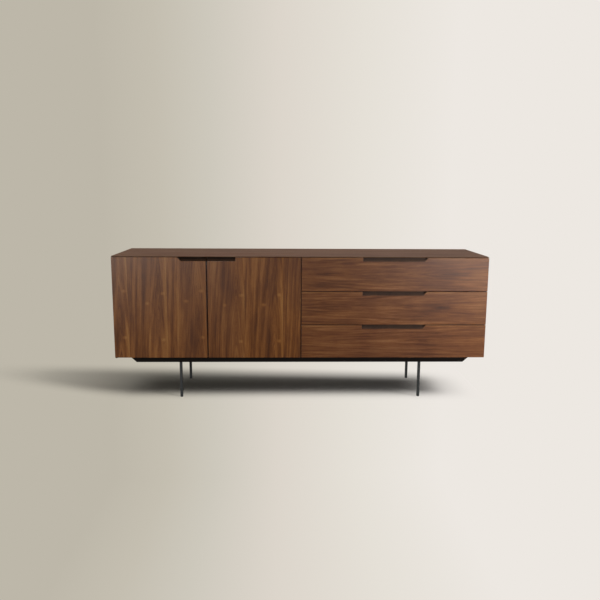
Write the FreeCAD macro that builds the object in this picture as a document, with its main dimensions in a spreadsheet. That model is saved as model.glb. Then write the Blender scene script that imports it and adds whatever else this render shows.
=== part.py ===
import FreeCAD, Part
import Sketcher
import os
import re

# Buffet sideboard: a wide walnut case with two doors on the left and three drawers on the
# right, on a bevelled base with four thin bar legs. Origin at the middle of the footprint on
# the floor, X to the right, Y to the back, Z up. Every length is in millimetres.

# Driving sizes. Each one is a cell of the sheet and can be changed by itself.
SIZES = {
    # the whole case
    "case_width": "2000",
    "case_depth": "465",
    "case_height": "552",
    "board": "20",
    "edge_round": "0.8",
    # doors and drawer fronts
    "front_thickness": "20",
    "front_gap": "3",
    "door_gap": "4",
    "behind_gap": "2",
    "top_lip": "3",
    # back panel in its rebate
    "back_thickness": "8",
    "rebate_width": "10",
    # loose joints of the case
    "wood_fit": "0.1",
    "cut_overrun": "5",
    "spline_thickness": "3",
    "spline_width": "14",
    "spline_margin": "22",
    "dowel_radius": "4",
    "dowel_in_board": "12",
    "dowel_in_partition": "18",
    "dowel_margin": "60",
    # shelf and its pins
    "shelf_rise": "246",
    "shelf_setback": "20",
    "shelf_side_gap": "1.5",
    "pin_radius": "2.5",
    "pin_in_board": "10",
    "pin_reach": "12",
    "pin_tongue_width": "8",
    "pin_tongue_height": "3",
    "pin_margin": "50",
    "pin_pitch": "64",
    # bevelled base
    "base_height": "33",
    "base_slant": "24",
    "base_side_inset": "81",
    "base_front_inset": "18.5",
    # legs
    "leg_height": "198",
    "leg_bar": "14",
    "leg_side_inset": "343",
    "leg_front_inset": "56.5",
    "leg_plate_width": "80",
    "leg_plate_depth": "60",
    "leg_plate_thickness": "4",
    "leg_plate_edge": "4",
    "recess_fit": "0.3",
    "glide_height": "3",
    "glide_width": "12",
    "glide_stub_radius": "2.5",
    "glide_stub_length": "10",
    # pivot hinges of the doors
    "pivot_inset": "6",
    "pivot_pin_radius": "2",
    "pivot_pin_reach": "10",
    "running_fit": "0.05",
    "bush_radius": "3.5",
    "bush_length": "12",
    "bracket_thickness": "2",
    "bracket_gap": "0.5",
    "bracket_edge": "1",
    "bracket_width": "7",
    "bracket_height": "36",
    # magnetic catches of the doors
    "catch_width": "40",
    "catch_height": "22",
    "catch_depth": "20",
    "catch_offset": "45",
    "strike_width": "38",
    "strike_height": "10",
    "strike_drop": "5",
    "strike_gap": "0.3",
    # metal pulls let into the top edges of the fronts
    "pull_height": "20",
    "pull_slant": "18",
    "pull_sheet": "2",
    "pull_lip": "10",
    "pull_fit": "0.1",
    "pull_bend": "1",
    "drawer_pull_width": "346",
    "door_pull_reach": "153",
    # drawer boxes
    "box_side": "15",
    "box_rise": "25",
    "box_headroom": "24",
    "box_back_gap": "37",
    "box_bottom": "8",
    "groove_depth": "6",
    "groove_rise": "12",
    # drawer runners, each of three nested channels
    "runner_thickness": "13",
    "runner_back_gap": "29",
    "runner_height": "45",
    "runner_setback": "6",
    "runner_rise": "45",
    "channel_wall": "1.2",
    "channel_gap": "0.4",
    "outer_flange": "9",
    "middle_web": "3.6",
    "middle_flange": "6.8",
    "inner_flange": "7.4",
    # screws
    "leg_screw_head_radius": "4",
    "leg_screw_head_height": "2",
    "leg_screw_radius": "2",
    "leg_screw_length": "16",
    "leg_screw_spread": "30",
    "leg_screw_row": "16",
    "leg_screw_pitch": "24",
    "base_screw_head_radius": "5",
    "base_screw_head_height": "4",
    "base_screw_sink": "8",
    "base_screw_radius": "2.5",
    "base_screw_bite": "14",
    "base_screw_inset": "40",
    "back_screw_head_radius": "3.2",
    "back_screw_head_height": "2",
    "back_screw_radius": "1.6",
    "back_screw_length": "20",
    "bracket_screw_head_radius": "2.6",
    "bracket_screw_head_height": "1",
    "bracket_screw_radius": "1.3",
    "bracket_screw_length": "15",
    "bracket_screw_margin": "8",
    "runner_screw_head_radius": "3.5",
    "runner_screw_head_height": "1.8",
    "runner_screw_radius": "1.8",
    "runner_screw_length": "13",
    "runner_screw_margin": "35",
}

# Places worked out from the sizes above, named once and used by every piece that meets there.
PLACES = {
    "half_width": "case_width / 2",
    "front_face": "-case_depth / 2",
    "front_back": "front_face + front_thickness",
    "case_front": "front_back + behind_gap",
    "case_back": "case_depth / 2",
    "back_seat": "case_back - back_thickness",
    "base_bottom": "glide_height + leg_height",
    "case_bottom": "base_bottom + base_height",
    "case_top": "case_bottom + case_height",
    "floor_board_top": "case_bottom + board",
    "top_board_under": "case_top - board",
    "fronts_bottom": "case_bottom + front_gap",
    "fronts_top": "case_top - top_lip - front_gap",
    "lip_under": "case_top - top_lip",
    "side_inner": "half_width - board",
    "partition_face": "board / 2",
    "door_width": "(half_width - front_gap / 2 - door_gap) / 2",
    "door_free_edge": "-half_width + door_width",
    "door_middle": "door_free_edge + door_gap / 2",
    "drawer_left_edge": "front_gap / 2",
    "drawer_middle": "(drawer_left_edge + half_width) / 2",
    "drawer_front_height": "(fronts_top - fronts_bottom - 2 * front_gap) / 3",
    "shelf_under": "floor_board_top + shelf_rise",
    "pin_axis": "shelf_under - pin_radius",
    "pin_front": "case_front + pin_margin",
    "pin_rear": "back_seat - pin_margin",
    "leg_across": "half_width - leg_side_inset",
    "leg_along": "case_depth / 2 - leg_front_inset",
    "base_half_width": "half_width - base_side_inset",
    "base_half_depth": "case_depth / 2 - base_front_inset",
    "plate_front": "-leg_along - leg_bar / 2 - leg_plate_edge",
    "pivot_x": "-half_width + pivot_inset",
    "pivot_y": "front_face + pivot_inset",
    "bracket_under": "fronts_top + bracket_gap",
    "bracket_top": "bracket_under + bracket_thickness",
    "bracket_left": "-half_width + bracket_edge",
    "bracket_tip": "pivot_inset - bracket_edge",
    "bracket_middle": "bracket_left + bracket_width / 2",
    "bracket_screw_high": "bracket_top - bracket_screw_margin",
    "bracket_screw_low": "bracket_top - bracket_height + bracket_screw_margin",
    "middle_height": "(fronts_top + fronts_bottom) / 2",
    "notch_bottom": "fronts_top - pull_height",
    "catch_middle": "door_free_edge - catch_offset",
    "box_outer_left": "partition_face + runner_thickness",
    "box_outer_right": "side_inner - runner_thickness",
    "box_inner_left": "box_outer_left + box_side",
    "box_inner_right": "box_outer_right - box_side",
    "box_back": "back_seat - box_back_gap",
    "box_low": "box_rise",
    "box_high": "drawer_front_height - box_headroom",
    "groove_low": "box_low + groove_rise",
    "groove_high": "groove_low + box_bottom",
    "runner_front": "case_front + runner_setback",
    "runner_length": "back_seat - runner_back_gap - runner_front",
    "runner_axis": "box_low + runner_rise",
}

# Shares along the base, the back panel and the runners at which their screws stand.
BASE_SCREW_SHARES = (-0.9, -0.3, 0.3, 0.9)
BACK_SCREW_SHARES = (-0.9, -0.5, 0.5, 0.9)
BACK_SCREW_HEIGHT_SHARES = (0.3, 0.7)
DOWEL_SHARES = (0, 0.5, 1)
PIN_ROWS = (-1, 0, 1)
DRAWERS = ("drawer_lower", "drawer_middle", "drawer_upper")

document = FreeCAD.newDocument("Sideboard")
sheet = document.addObject("Spreadsheet::Sheet", "Sizes")
for row, (alias, number) in enumerate(SIZES.items(), 1):
    sheet.set(f"A{row}", alias)
    sheet.set(f"B{row}", number)
    sheet.setAlias(f"B{row}", alias)
document.recompute()
pieces = []


def term(text):
    """The formula with every place written out and every size read from the sheet."""

    def written_out(match):
        word = match.group(0)
        if word in PLACES:
            return "(" + term(PLACES[word]) + ")"
        if word in SIZES:
            return "Sizes." + word
        return word

    return re.sub(r"[a-z][a-z_]*", written_out, str(text))


def value(text):
    """The formula's present length."""
    return float(sheet.evalExpression(term(text)))


def bind(thing, prop, text):
    thing.setExpression(prop, term(text))


def piece(thing, label):
    """Name a finished sub-part, which is then written to a file of that name."""
    thing.Label = label
    pieces.append(thing)
    return thing


# Each origin plane with the sign of its normal along the axis that it faces.
PLANES = {"XY_Plane": 1, "XZ_Plane": -1, "YZ_Plane": 1}


def sketch_on(body, name, plane, at):
    """An empty sketch on one of the body's origin planes, moved to a place along its axis."""
    sketch = body.newObject("Sketcher::SketchObject", name)
    for feature in body.Origin.OriginFeatures:
        if feature.Role == plane:
            sketch.AttachmentSupport = [(feature, "")]
    sketch.MapMode = "FlatFace"
    sign = "-" if PLANES[plane] < 0 else ""
    bind(sketch, "AttachmentOffset.Base.z", f"{sign}({at})")
    return sketch


def hold(sketch, index, position, point):
    """The two constraints that hold a point of the sketch at a pair of formulas."""
    made = []
    for kind, text in zip(("DistanceX", "DistanceY"), point):
        made.append((Sketcher.Constraint(kind, -1, 1, index, position, value(text)), text))
    return made


def constrain(sketch, made):
    numbers = sketch.addConstraint([constraint for constraint, text in made])
    for number, (constraint, text) in zip(numbers, made):
        if text is not None:
            bind(sketch, f"Constraints[{number}]", text)


def outline(body, name, plane, at, points):
    """A closed outline of straight lines through points given as pairs of formulas."""
    sketch = sketch_on(body, name, plane, at)
    corners = [FreeCAD.Vector(value(a), value(b), 0) for a, b in points]
    count = len(corners)
    lines = [Part.LineSegment(corners[i], corners[(i + 1) % count]) for i in range(count)]
    sketch.addGeometry(lines)
    made = []
    for i in range(count):
        made.append((Sketcher.Constraint("Coincident", i, 2, (i + 1) % count, 1), None))
        made.extend(hold(sketch, i, 1, points[i]))
    constrain(sketch, made)
    return sketch


def rectangle(body, name, plane, at, low, high):
    points = [low, (high[0], low[1]), high, (low[0], high[1])]
    return outline(body, name, plane, at, points)


def circles(body, name, plane, at, centres, radius):
    """Circles of one radius round points given as pairs of formulas."""
    sketch = sketch_on(body, name, plane, at)
    up = FreeCAD.Vector(0, 0, 1)
    made = []
    for i, centre in enumerate(centres):
        middle = FreeCAD.Vector(value(centre[0]), value(centre[1]), 0)
        sketch.addGeometry(Part.Circle(middle, up, value(radius)))
        made.append((Sketcher.Constraint("Radius", i, value(radius)), radius))
        made.extend(hold(sketch, i, 3, centre))
    constrain(sketch, made)
    return sketch


def plane_sign(sketch):
    return PLANES[sketch.AttachmentSupport[0][0].Role]


def pad(body, sketch, length, towards=1):
    """Grow the sketch along its axis, towards +1 or -1."""
    feature = body.newObject("PartDesign::Pad", sketch.Name + "_pad")
    feature.Profile = sketch
    feature.Reversed = towards != plane_sign(sketch)
    bind(feature, "Length", length)
    document.recompute()
    return feature


def pocket(body, sketch, length, towards=1):
    """Cut the sketch along its axis, towards +1 or -1, and see that it took wood away."""
    before = body.Shape.Volume
    feature = body.newObject("PartDesign::Pocket", sketch.Name + "_pocket")
    feature.Profile = sketch
    feature.Reversed = towards == plane_sign(sketch)
    bind(feature, "Length", length)
    document.recompute()
    if not body.Shape.Volume < before:
        raise RuntimeError(feature.Name + " cuts nothing")
    return feature


def fillet(body, name, radius, chosen):
    """Round the edges of the body that the test picks."""
    base = body.Tip
    names = [f"Edge{i}" for i, edge in enumerate(base.Shape.Edges, 1) if chosen(edge)]
    feature = body.newObject("PartDesign::Fillet", name)
    feature.Base = (base, names)
    bind(feature, "Radius", radius)
    document.recompute()
    return feature


def lies_at(low, high, place):
    """Whether a box's low and high side are both at a place, within a tiny share of it."""
    tiny = value("cut_overrun") / 10000
    return abs(low - place) < tiny and abs(high - place) < tiny


def in_front(edge):
    """An edge that lies in the front face."""
    return lies_at(edge.BoundBox.YMin, edge.BoundBox.YMax, value("front_face"))


def new_body(name):
    return document.addObject("PartDesign::Body", name)


def board(name, x, y, z):
    """A plain board between three pairs of formulas, as a padded rectangle."""
    body = new_body(name)
    profile = rectangle(body, name + "_profile", "XY_Plane", z[0], (x[0], y[0]), (x[1], y[1]))
    pad(body, profile, f"({z[1]}) - ({z[0]})")
    return body


def box_cut(body, name, x, y, z):
    """Cut a box-shaped space between three pairs of formulas out of the body."""
    profile = rectangle(body, name, "XY_Plane", z[0], (x[0], y[0]), (x[1], y[1]))
    return pocket(body, profile, f"({z[1]}) - ({z[0]})")


def cylinder(name, radius, height, place, direction):
    """A round bar from a place along a direction."""
    bar = document.addObject("Part::Cylinder", name)
    bind(bar, "Radius", radius)
    bind(bar, "Height", height)
    bar.Placement.Rotation = FreeCAD.Rotation(FreeCAD.Vector(0, 0, 1), direction)
    for axis, text in zip("xyz", place):
        bind(bar, f"Placement.Base.{axis}", text)
    return bar


def block(name, x, y, z):
    """A plain block between three pairs of formulas."""
    box = document.addObject("Part::Box", name)
    for axis, prop, (low, high) in zip("xyz", ("Length", "Width", "Height"), (x, y, z)):
        bind(box, prop, f"({high}) - ({low})")
        bind(box, f"Placement.Base.{axis}", low)
    return box


def joined(name, parts):
    result = document.addObject("Part::MultiFuse", name)
    result.Shapes = parts
    return result


def group(label, parts):
    """Separate solids of one kind under one name."""
    result = document.addObject("Part::Compound", label)
    result.Links = parts
    document.recompute()
    return piece(result, label)


def mirrored(name, source, normal, base):
    """The mirror image of a piece in the plane through a formula's place along an axis."""
    result = document.addObject("Part::Mirroring", name)
    result.Source = source
    result.Normal = normal
    axis = "xyz"[list(normal).index(1)]
    bind(result, f"Base.{axis}", base)
    document.recompute()
    return result


ACROSS = FreeCAD.Vector(1, 0, 0)
ALONG = FreeCAD.Vector(0, 1, 0)
UPWARD = FreeCAD.Vector(0, 0, 1)


def screw(name, size, place, direction, length):
    """A screw of the named kind: its head starts at the place, its shank follows."""
    head = cylinder(name + "_head", f"{size}_head_radius", f"{size}_head_height", place, direction)
    shank = cylinder(name + "_shank", f"{size}_radius", length, place, direction)
    return joined(name, [head, shank])


# Places of the screws, shared by the screws and by the holes that take them
def base_screw_places():
    across = [f"{share} * (base_half_width - base_slant)" for share in BASE_SCREW_SHARES]
    along = "base_half_depth - base_slant - base_screw_inset"
    return [(x, f"{sign} * ({along})") for x in across for sign in (-1, 1)]


def leg_screw_places():
    """Four screws round each leg, mirrored to the four corners."""
    places = []
    for side in (-1, 1):
        for end in (-1, 1):
            for spread in (-1, 1):
                for step in (0, 1):
                    x = f"{side} * (leg_across + {spread} * leg_screw_spread)"
                    row = f"leg_screw_row + {step} * leg_screw_pitch"
                    places.append((x, f"{end} * (leg_along - ({row}))"))
    return places


def back_screw_places(where):
    """Screw places in the back edge of one board, as pairs across and up."""
    ledge = "rebate_width / 2"
    rows = {"top_panel": f"top_board_under + {ledge}", "bottom_panel": f"floor_board_top - {ledge}"}
    columns = {"side_left": f"-side_inner - {ledge}", "side_right": f"side_inner + {ledge}"}
    columns["partition"] = "0"
    if where in rows:
        return [(f"{share} * side_inner", rows[where]) for share in BACK_SCREW_SHARES]
    bay = "floor_board_top + {} * (top_board_under - floor_board_top)"
    return [(columns[where], bay.format(share)) for share in BACK_SCREW_HEIGHT_SHARES]


def drawer_level(number):
    """Height of the bottom edge of a drawer front, counted from the lowest drawer."""
    return f"fronts_bottom + {number} * (drawer_front_height + front_gap)"


def runner_screw_ends():
    """Places along the depth of the screws of one runner."""
    ends = ("runner_screw_margin", "runner_length / 2", "runner_length - runner_screw_margin")
    return [f"runner_front + {end}" for end in ends]


def runner_screw_places():
    """Pairs along the depth and up, the same on the partition and on the right side."""
    levels = [drawer_level(number) for number in range(len(DRAWERS))]
    return [(y, f"{level} + runner_axis") for level in levels for y in runner_screw_ends()]


def dowel_places():
    first = "case_front + dowel_margin"
    run = f"(back_seat - dowel_margin) - ({first})"
    return [("0", f"{first} + {share} * ({run})") for share in DOWEL_SHARES]


def drill(body, name, plane, at, centres, radius, depth, towards):
    """Round holes for screws, dowels or pins."""
    return pocket(body, circles(body, name, plane, at, centres, radius), depth, towards)


def drill_for_back(body, where):
    """Holes for the back panel's screws in the rebated back edge of a board."""
    depth = "back_screw_length - back_thickness + wood_fit"
    radius = "back_screw_radius + wood_fit"
    places = back_screw_places(where)
    drill(body, where + "_back_holes", "XZ_Plane", "back_seat", places, radius, depth, -1)


# The case: top, bottom and two sides with mitred corners, held by loose splines
SPLINE_CORNERS = ((-1, 1), (1, 1), (-1, -1), (1, -1))


def spline_outline(side, level, ease):
    """Corners of a spline's section, square across the mitre of one corner of the case."""
    middle_x = f"{side} * (half_width - board / 2)"
    height = "case_top - board / 2" if level > 0 else "case_bottom + board / 2"
    wide = f"(spline_width / 2 + {ease}) * sqrt(1 / 2)"
    thin = f"(spline_thickness / 2 + {ease}) * sqrt(1 / 2)"
    slope = -side * level
    points = []
    for a, b in ((1, 1), (1, -1), (-1, -1), (-1, 1)):
        x = f"{middle_x} + {a} * ({wide}) + {b} * ({thin})"
        z = f"{height} + {slope} * ({a} * ({wide}) - {b} * ({thin}))"
        points.append((x, z))
    return points


def spline_groove(body, side, level):
    """Groove for the spline of one corner, stopped short of the front and the back."""
    name = f"{body.Name}_groove_{'left' if side < 0 else 'right'}_{'top' if level > 0 else 'low'}"
    start = "case_front + spline_margin - wood_fit"
    sketch = outline(body, name, "XZ_Plane", start, spline_outline(side, level, "wood_fit"))
    run = "back_seat - case_front - 2 * spline_margin + 2 * wood_fit"
    pocket(body, sketch, run)


def bracket_mortise(body, name, x, z):
    """Recess in a front edge that takes the upright flange of a pivot bracket."""
    sketch = rectangle(body, name, "XZ_Plane", "case_front", (x[0], z[0]), (x[1], z[1]))
    pocket(body, sketch, "bracket_thickness")


def lower(text):
    """The same height counted from the bottom of the fronts instead of their top."""
    return f"2 * middle_height - ({text})"


def right_door(text):
    """The place that mirrors one of the left door on the right door."""
    return f"2 * door_middle - ({text})"


BRACKET_SPAN = ("bracket_left", "bracket_left + bracket_width")
MORTISE_TOP = "bracket_top - bracket_height"


def drill_for_bracket(body, name, x, heights):
    depth = "bracket_thickness + bracket_screw_length"
    centres = [(x, height) for height in heights]
    radius = "bracket_screw_radius + wood_fit"
    drill(body, name, "XZ_Plane", "case_front", centres, radius, depth, 1)


def top_slab(label, front, low, high):
    """A layer of the top whose ends follow the mitres, between two heights."""
    body = new_body(label)
    ends = []
    for side, height in ((-1, high), (1, high), (1, low), (-1, low)):
        ends.append((f"{side} * (half_width - (case_top - ({height})))", height))
    profile = outline(body, label + "_profile", "XZ_Plane", front, ends)
    pad(body, profile, f"case_back - ({front})")
    return body


def make_top_face():
    """The thin face board of the top, which runs out over the fronts as a lip."""
    body = top_slab("top_face", "front_face", "lip_under", "case_top")

    def upper_front(edge):
        return in_front(edge) and lies_at(edge.BoundBox.ZMin, edge.BoundBox.ZMax, value("case_top"))

    fillet(body, "top_front_round", "edge_round", upper_front)
    return piece(body, "top_face")


def make_top_panel():
    body = top_slab("top_panel", "case_front", "top_board_under", "lip_under")
    back = ("back_seat", "case_back + cut_overrun")
    rebate = ("top_board_under - cut_overrun", "top_board_under + rebate_width")
    inner = "side_inner + rebate_width"
    box_cut(body, "top_back_rebate", (f"-({inner})", inner), back, rebate)
    spline_groove(body, -1, 1)
    spline_groove(body, 1, 1)
    hole = "dowel_radius + wood_fit"
    depth = "dowel_in_board + wood_fit"
    drill(body, "top_dowel_holes", "XY_Plane", "top_board_under", dowel_places(), hole, depth, 1)
    drill_for_back(body, "top_panel")
    height = (MORTISE_TOP, "bracket_top")
    bracket_mortise(body, "top_mortise_left", BRACKET_SPAN, height)
    span = (right_door(BRACKET_SPAN[1]), right_door(BRACKET_SPAN[0]))
    bracket_mortise(body, "top_mortise_partition", span, height)
    middle = right_door("bracket_middle")
    drill_for_bracket(body, "top_bracket_hole", middle, ["bracket_screw_high"])
    return piece(body, "top_panel")


def make_bottom_panel():
    body = new_body("bottom_panel")
    ends = [("-half_width", "case_bottom"), ("half_width", "case_bottom"),
            ("side_inner", "floor_board_top"), ("-side_inner", "floor_board_top")]
    profile = outline(body, "bottom_profile", "XZ_Plane", "case_front", ends)
    pad(body, profile, "case_back - case_front")
    back = ("back_seat", "case_back + cut_overrun")
    rebate = ("floor_board_top - rebate_width", "floor_board_top + cut_overrun")
    inner = "side_inner + rebate_width"
    box_cut(body, "bottom_back_rebate", (f"-({inner})", inner), back, rebate)
    spline_groove(body, -1, -1)
    spline_groove(body, 1, -1)
    hole = "dowel_radius + wood_fit"
    depth = "dowel_in_board + wood_fit"
    drill(body, "bottom_dowel_holes", "XY_Plane", "floor_board_top", dowel_places(), hole, depth, -1)
    drill_for_back(body, "bottom_panel")
    bite = "base_screw_bite + wood_fit"
    hole = "base_screw_radius + wood_fit"
    places = base_screw_places()
    drill(body, "bottom_base_holes", "XY_Plane", "case_bottom", places, hole, bite, 1)
    height = (lower("bracket_top"), lower(MORTISE_TOP))
    bracket_mortise(body, "bottom_mortise_left", BRACKET_SPAN, height)
    span = (right_door(BRACKET_SPAN[1]), right_door(BRACKET_SPAN[0]))
    bracket_mortise(body, "bottom_mortise_partition", span, height)
    middle = right_door("bracket_middle")
    drill_for_bracket(body, "bottom_bracket_hole", middle, [lower("bracket_screw_high")])
    return piece(body, "bottom_panel")


def pin_places():
    rows = [f"pin_axis + {step} * pin_pitch" for step in PIN_ROWS]
    return [(y, z) for y in ("pin_front", "pin_rear") for z in rows]


def drill_for_pins(body, name, at, towards):
    radius = "pin_radius + wood_fit"
    depth = "pin_in_board + wood_fit"
    drill(body, name, "YZ_Plane", at, pin_places(), radius, depth, towards)


def drill_for_runners(body, name, at, towards):
    radius = "runner_screw_radius + wood_fit"
    depth = "runner_screw_length - channel_wall + wood_fit"
    drill(body, name, "YZ_Plane", at, runner_screw_places(), radius, depth, towards)


def make_side(label, side):
    """A side panel, mitred at its top and bottom ends."""
    body = new_body(label)
    outer = f"{side} * half_width"
    inner = f"{side} * side_inner"
    ends = [(outer, "case_bottom"), (outer, "case_top"),
            (inner, "top_board_under"), (inner, "floor_board_top")]
    profile = outline(body, label + "_profile", "XZ_Plane", "case_front", ends)
    pad(body, profile, "case_back - case_front")
    seat = f"{side} * (side_inner + rebate_width)"
    over = f"{side} * (side_inner - cut_overrun)"
    across = (seat, over) if side < 0 else (over, seat)
    back = ("back_seat", "case_back + cut_overrun")
    rebate = ("floor_board_top - rebate_width", "top_board_under + rebate_width")
    box_cut(body, label + "_rebate", across, back, rebate)
    spline_groove(body, side, 1)
    spline_groove(body, side, -1)
    drill_for_back(body, label)
    return body


def make_side_left():
    body = make_side("side_left", -1)
    drill_for_pins(body, "side_left_pin_holes", "-side_inner", -1)
    bracket_mortise(body, "side_mortise_top", BRACKET_SPAN, (MORTISE_TOP, "bracket_top"))
    low = (lower("bracket_top"), lower(MORTISE_TOP))
    bracket_mortise(body, "side_mortise_low", BRACKET_SPAN, low)
    heights = ["bracket_screw_high", "bracket_screw_low"]
    heights += [lower(text) for text in heights]
    drill_for_bracket(body, "side_bracket_holes", "bracket_middle", heights)
    return piece(body, "side_left")


def make_side_right():
    body = make_side("side_right", 1)
    drill_for_runners(body, "side_right_runner_holes", "side_inner", 1)
    return piece(body, "side_right")


def make_partition():
    span = ("-partition_face", "partition_face")
    body = board("partition", span, ("case_front", "back_seat"),
                 ("floor_board_top", "top_board_under"))
    hole = "dowel_radius + wood_fit"
    depth = "dowel_in_partition + wood_fit"
    places = dowel_places()
    drill(body, "partition_top_holes", "XY_Plane", "top_board_under", places, hole, depth, -1)
    drill(body, "partition_low_holes", "XY_Plane", "floor_board_top", places, hole, depth, 1)
    drill_for_pins(body, "partition_pin_holes", "-partition_face", 1)
    drill_for_runners(body, "partition_runner_holes", "partition_face", -1)
    drill_for_back(body, "partition")
    span = (right_door(BRACKET_SPAN[1]), right_door(BRACKET_SPAN[0]))
    bracket_mortise(body, "partition_mortise_top", span, (MORTISE_TOP, "bracket_top"))
    low = (lower("bracket_top"), lower(MORTISE_TOP))
    bracket_mortise(body, "partition_mortise_low", span, low)
    heights = ["bracket_screw_low", lower("bracket_screw_low")]
    drill_for_bracket(body, "partition_bracket_holes", right_door("bracket_middle"), heights)
    return piece(body, "partition")


def make_corner_splines():
    splines = []
    for number, (side, level) in enumerate(SPLINE_CORNERS):
        body = new_body(f"spline_{number}")
        start = "case_front + spline_margin"
        section = spline_outline(side, level, "0")
        sketch = outline(body, f"spline_section_{number}", "XZ_Plane", start, section)
        pad(body, sketch, "back_seat - case_front - 2 * spline_margin")
        splines.append(body)
    return group("corner_splines", splines)


def make_partition_dowels():
    dowels = []
    length = "dowel_in_board + dowel_in_partition"
    for number, (x, y) in enumerate(dowel_places()):
        low = "floor_board_top - dowel_in_board"
        high = "top_board_under - dowel_in_partition"
        for end, z in (("low", low), ("top", high)):
            name = f"dowel_{end}_{number}"
            dowels.append(cylinder(name, "dowel_radius", length, (x, y, z), UPWARD))
    return group("partition_dowels", dowels)


def make_back_panel():
    inner = "side_inner + rebate_width - wood_fit"
    low = "floor_board_top - rebate_width + wood_fit"
    high = "top_board_under + rebate_width - wood_fit"
    body = board("back_panel", (f"-({inner})", inner), ("back_seat", "case_back"), (low, high))
    names = ("top_panel", "bottom_panel", "side_left", "side_right", "partition")
    places = [place for where in names for place in back_screw_places(where)]
    radius = "back_screw_radius + wood_fit"
    drill(body, "back_holes", "XZ_Plane", "case_back", places, radius, "back_thickness", -1)
    radius = "back_screw_head_radius + wood_fit"
    depth = "back_screw_head_height"
    drill(body, "back_sinks", "XZ_Plane", "case_back", places, radius, depth, -1)
    piece(body, "back_panel")
    screws = []
    for number, (x, z) in enumerate(places):
        name, place = f"back_screw_{number}", (x, "case_back", z)
        screws.append(screw(name, "back_screw", place, -ALONG, "back_screw_length"))
    group("back_screws", screws)


# Shelf on four pins
def make_shelf():
    span = ("-side_inner + shelf_side_gap", "-partition_face - shelf_side_gap")
    depth = ("case_front + shelf_setback", "back_seat - shelf_side_gap")
    body = board("shelf", span, depth, ("shelf_under", "shelf_under + board"))
    return piece(body, "shelf")


def make_shelf_pins():
    pins = []
    for side, wall in ((1, "-side_inner"), (-1, "-partition_face")):
        for y in ("pin_front", "pin_rear"):
            name = f"shelf_pin_{'left' if side > 0 else 'right'}_{y[4:]}"
            shank_start = f"{wall} - {side} * pin_in_board"
            length = "pin_in_board + pin_reach"
            place = (shank_start, y, "pin_axis")
            shank = cylinder(name + "_shank", "pin_radius", length, place, side * ACROSS)
            reach = f"{wall} + {side} * pin_reach"
            across = (wall, reach) if side > 0 else (reach, wall)
            along = (f"{y} - pin_tongue_width / 2", f"{y} + pin_tongue_width / 2")
            height = ("shelf_under - pin_tongue_height", "shelf_under")
            tongue = block(name + "_tongue", across, along, height)
            pins.append(joined(name, [shank, tongue]))
    return group("shelf_pins", pins)


# Bevelled base and its four legs
def make_base_plate():
    """A plate whose edges lean in towards the floor."""
    base = document.addObject("Part::Wedge", "base_wedge")
    base.Placement.Rotation = FreeCAD.Rotation(ACROSS, 90)
    bind(base, "Placement.Base.z", "base_bottom")
    bind(base, "Ymin", "0")
    bind(base, "Ymax", "base_height")
    for sign, end in ((-1, "min"), (1, "max")):
        bind(base, "X" + end, f"{sign} * (base_half_width - base_slant)")
        bind(base, "X2" + end, f"{sign} * base_half_width")
        bind(base, "Z" + end, f"{sign} * (base_half_depth - base_slant)")
        bind(base, "Z2" + end, f"{sign} * base_half_depth")
    cuts = []
    for side in (-1, 1):
        for end in (-1, 1):
            name = f"plate_recess_{'left' if side < 0 else 'right'}_{'front' if end < 0 else 'back'}"
            middle = f"{side} * leg_across"
            half = "leg_plate_width / 2 + recess_fit"
            near = f"{end} * (-(plate_front) + recess_fit)"
            far = f"{end} * (-(plate_front) - leg_plate_depth - recess_fit)"
            along = (near, far) if end < 0 else (far, near)
            across = (f"{middle} - ({half})", f"{middle} + ({half})")
            height = ("base_bottom - cut_overrun", "base_bottom + leg_plate_thickness")
            cuts.append(block(name, across, along, height))
    under = "base_bottom"
    for number, (x, y) in enumerate(leg_screw_places()):
        radius = "leg_screw_radius + wood_fit"
        length = "leg_screw_length + wood_fit"
        cuts.append(cylinder(f"leg_screw_hole_{number}", radius, length, (x, y, under), UPWARD))
    for number, (x, y) in enumerate(base_screw_places()):
        radius = "base_screw_radius + wood_fit"
        name = f"base_screw_hole_{number}"
        cuts.append(cylinder(name, radius, "base_height + cut_overrun", (x, y, under), UPWARD))
        radius = "base_screw_head_radius + wood_fit"
        name = f"base_screw_sink_{number}"
        cuts.append(cylinder(name, radius, "base_screw_sink", (x, y, under), UPWARD))
    tools = document.addObject("Part::Compound", "base_cuts")
    tools.Links = cuts
    plate = document.addObject("Part::Cut", "base_plate")
    plate.Base = base
    plate.Tool = tools
    document.recompute()
    piece(plate, "base_plate")
    length = "base_height - base_screw_sink + base_screw_head_height + base_screw_bite"
    start = "base_bottom + base_screw_sink - base_screw_head_height"
    screws = []
    for number, (x, y) in enumerate(base_screw_places()):
        name = f"base_screw_{number}"
        screws.append(screw(name, "base_screw", (x, y, start), UPWARD, length))
    for number, (x, y) in enumerate(leg_screw_places()):
        name, place = f"leg_screw_{number}", (x, y, "base_bottom")
        screws.append(screw(name, "leg_screw", place, UPWARD, "leg_screw_length"))
    group("base_screws", screws)


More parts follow.
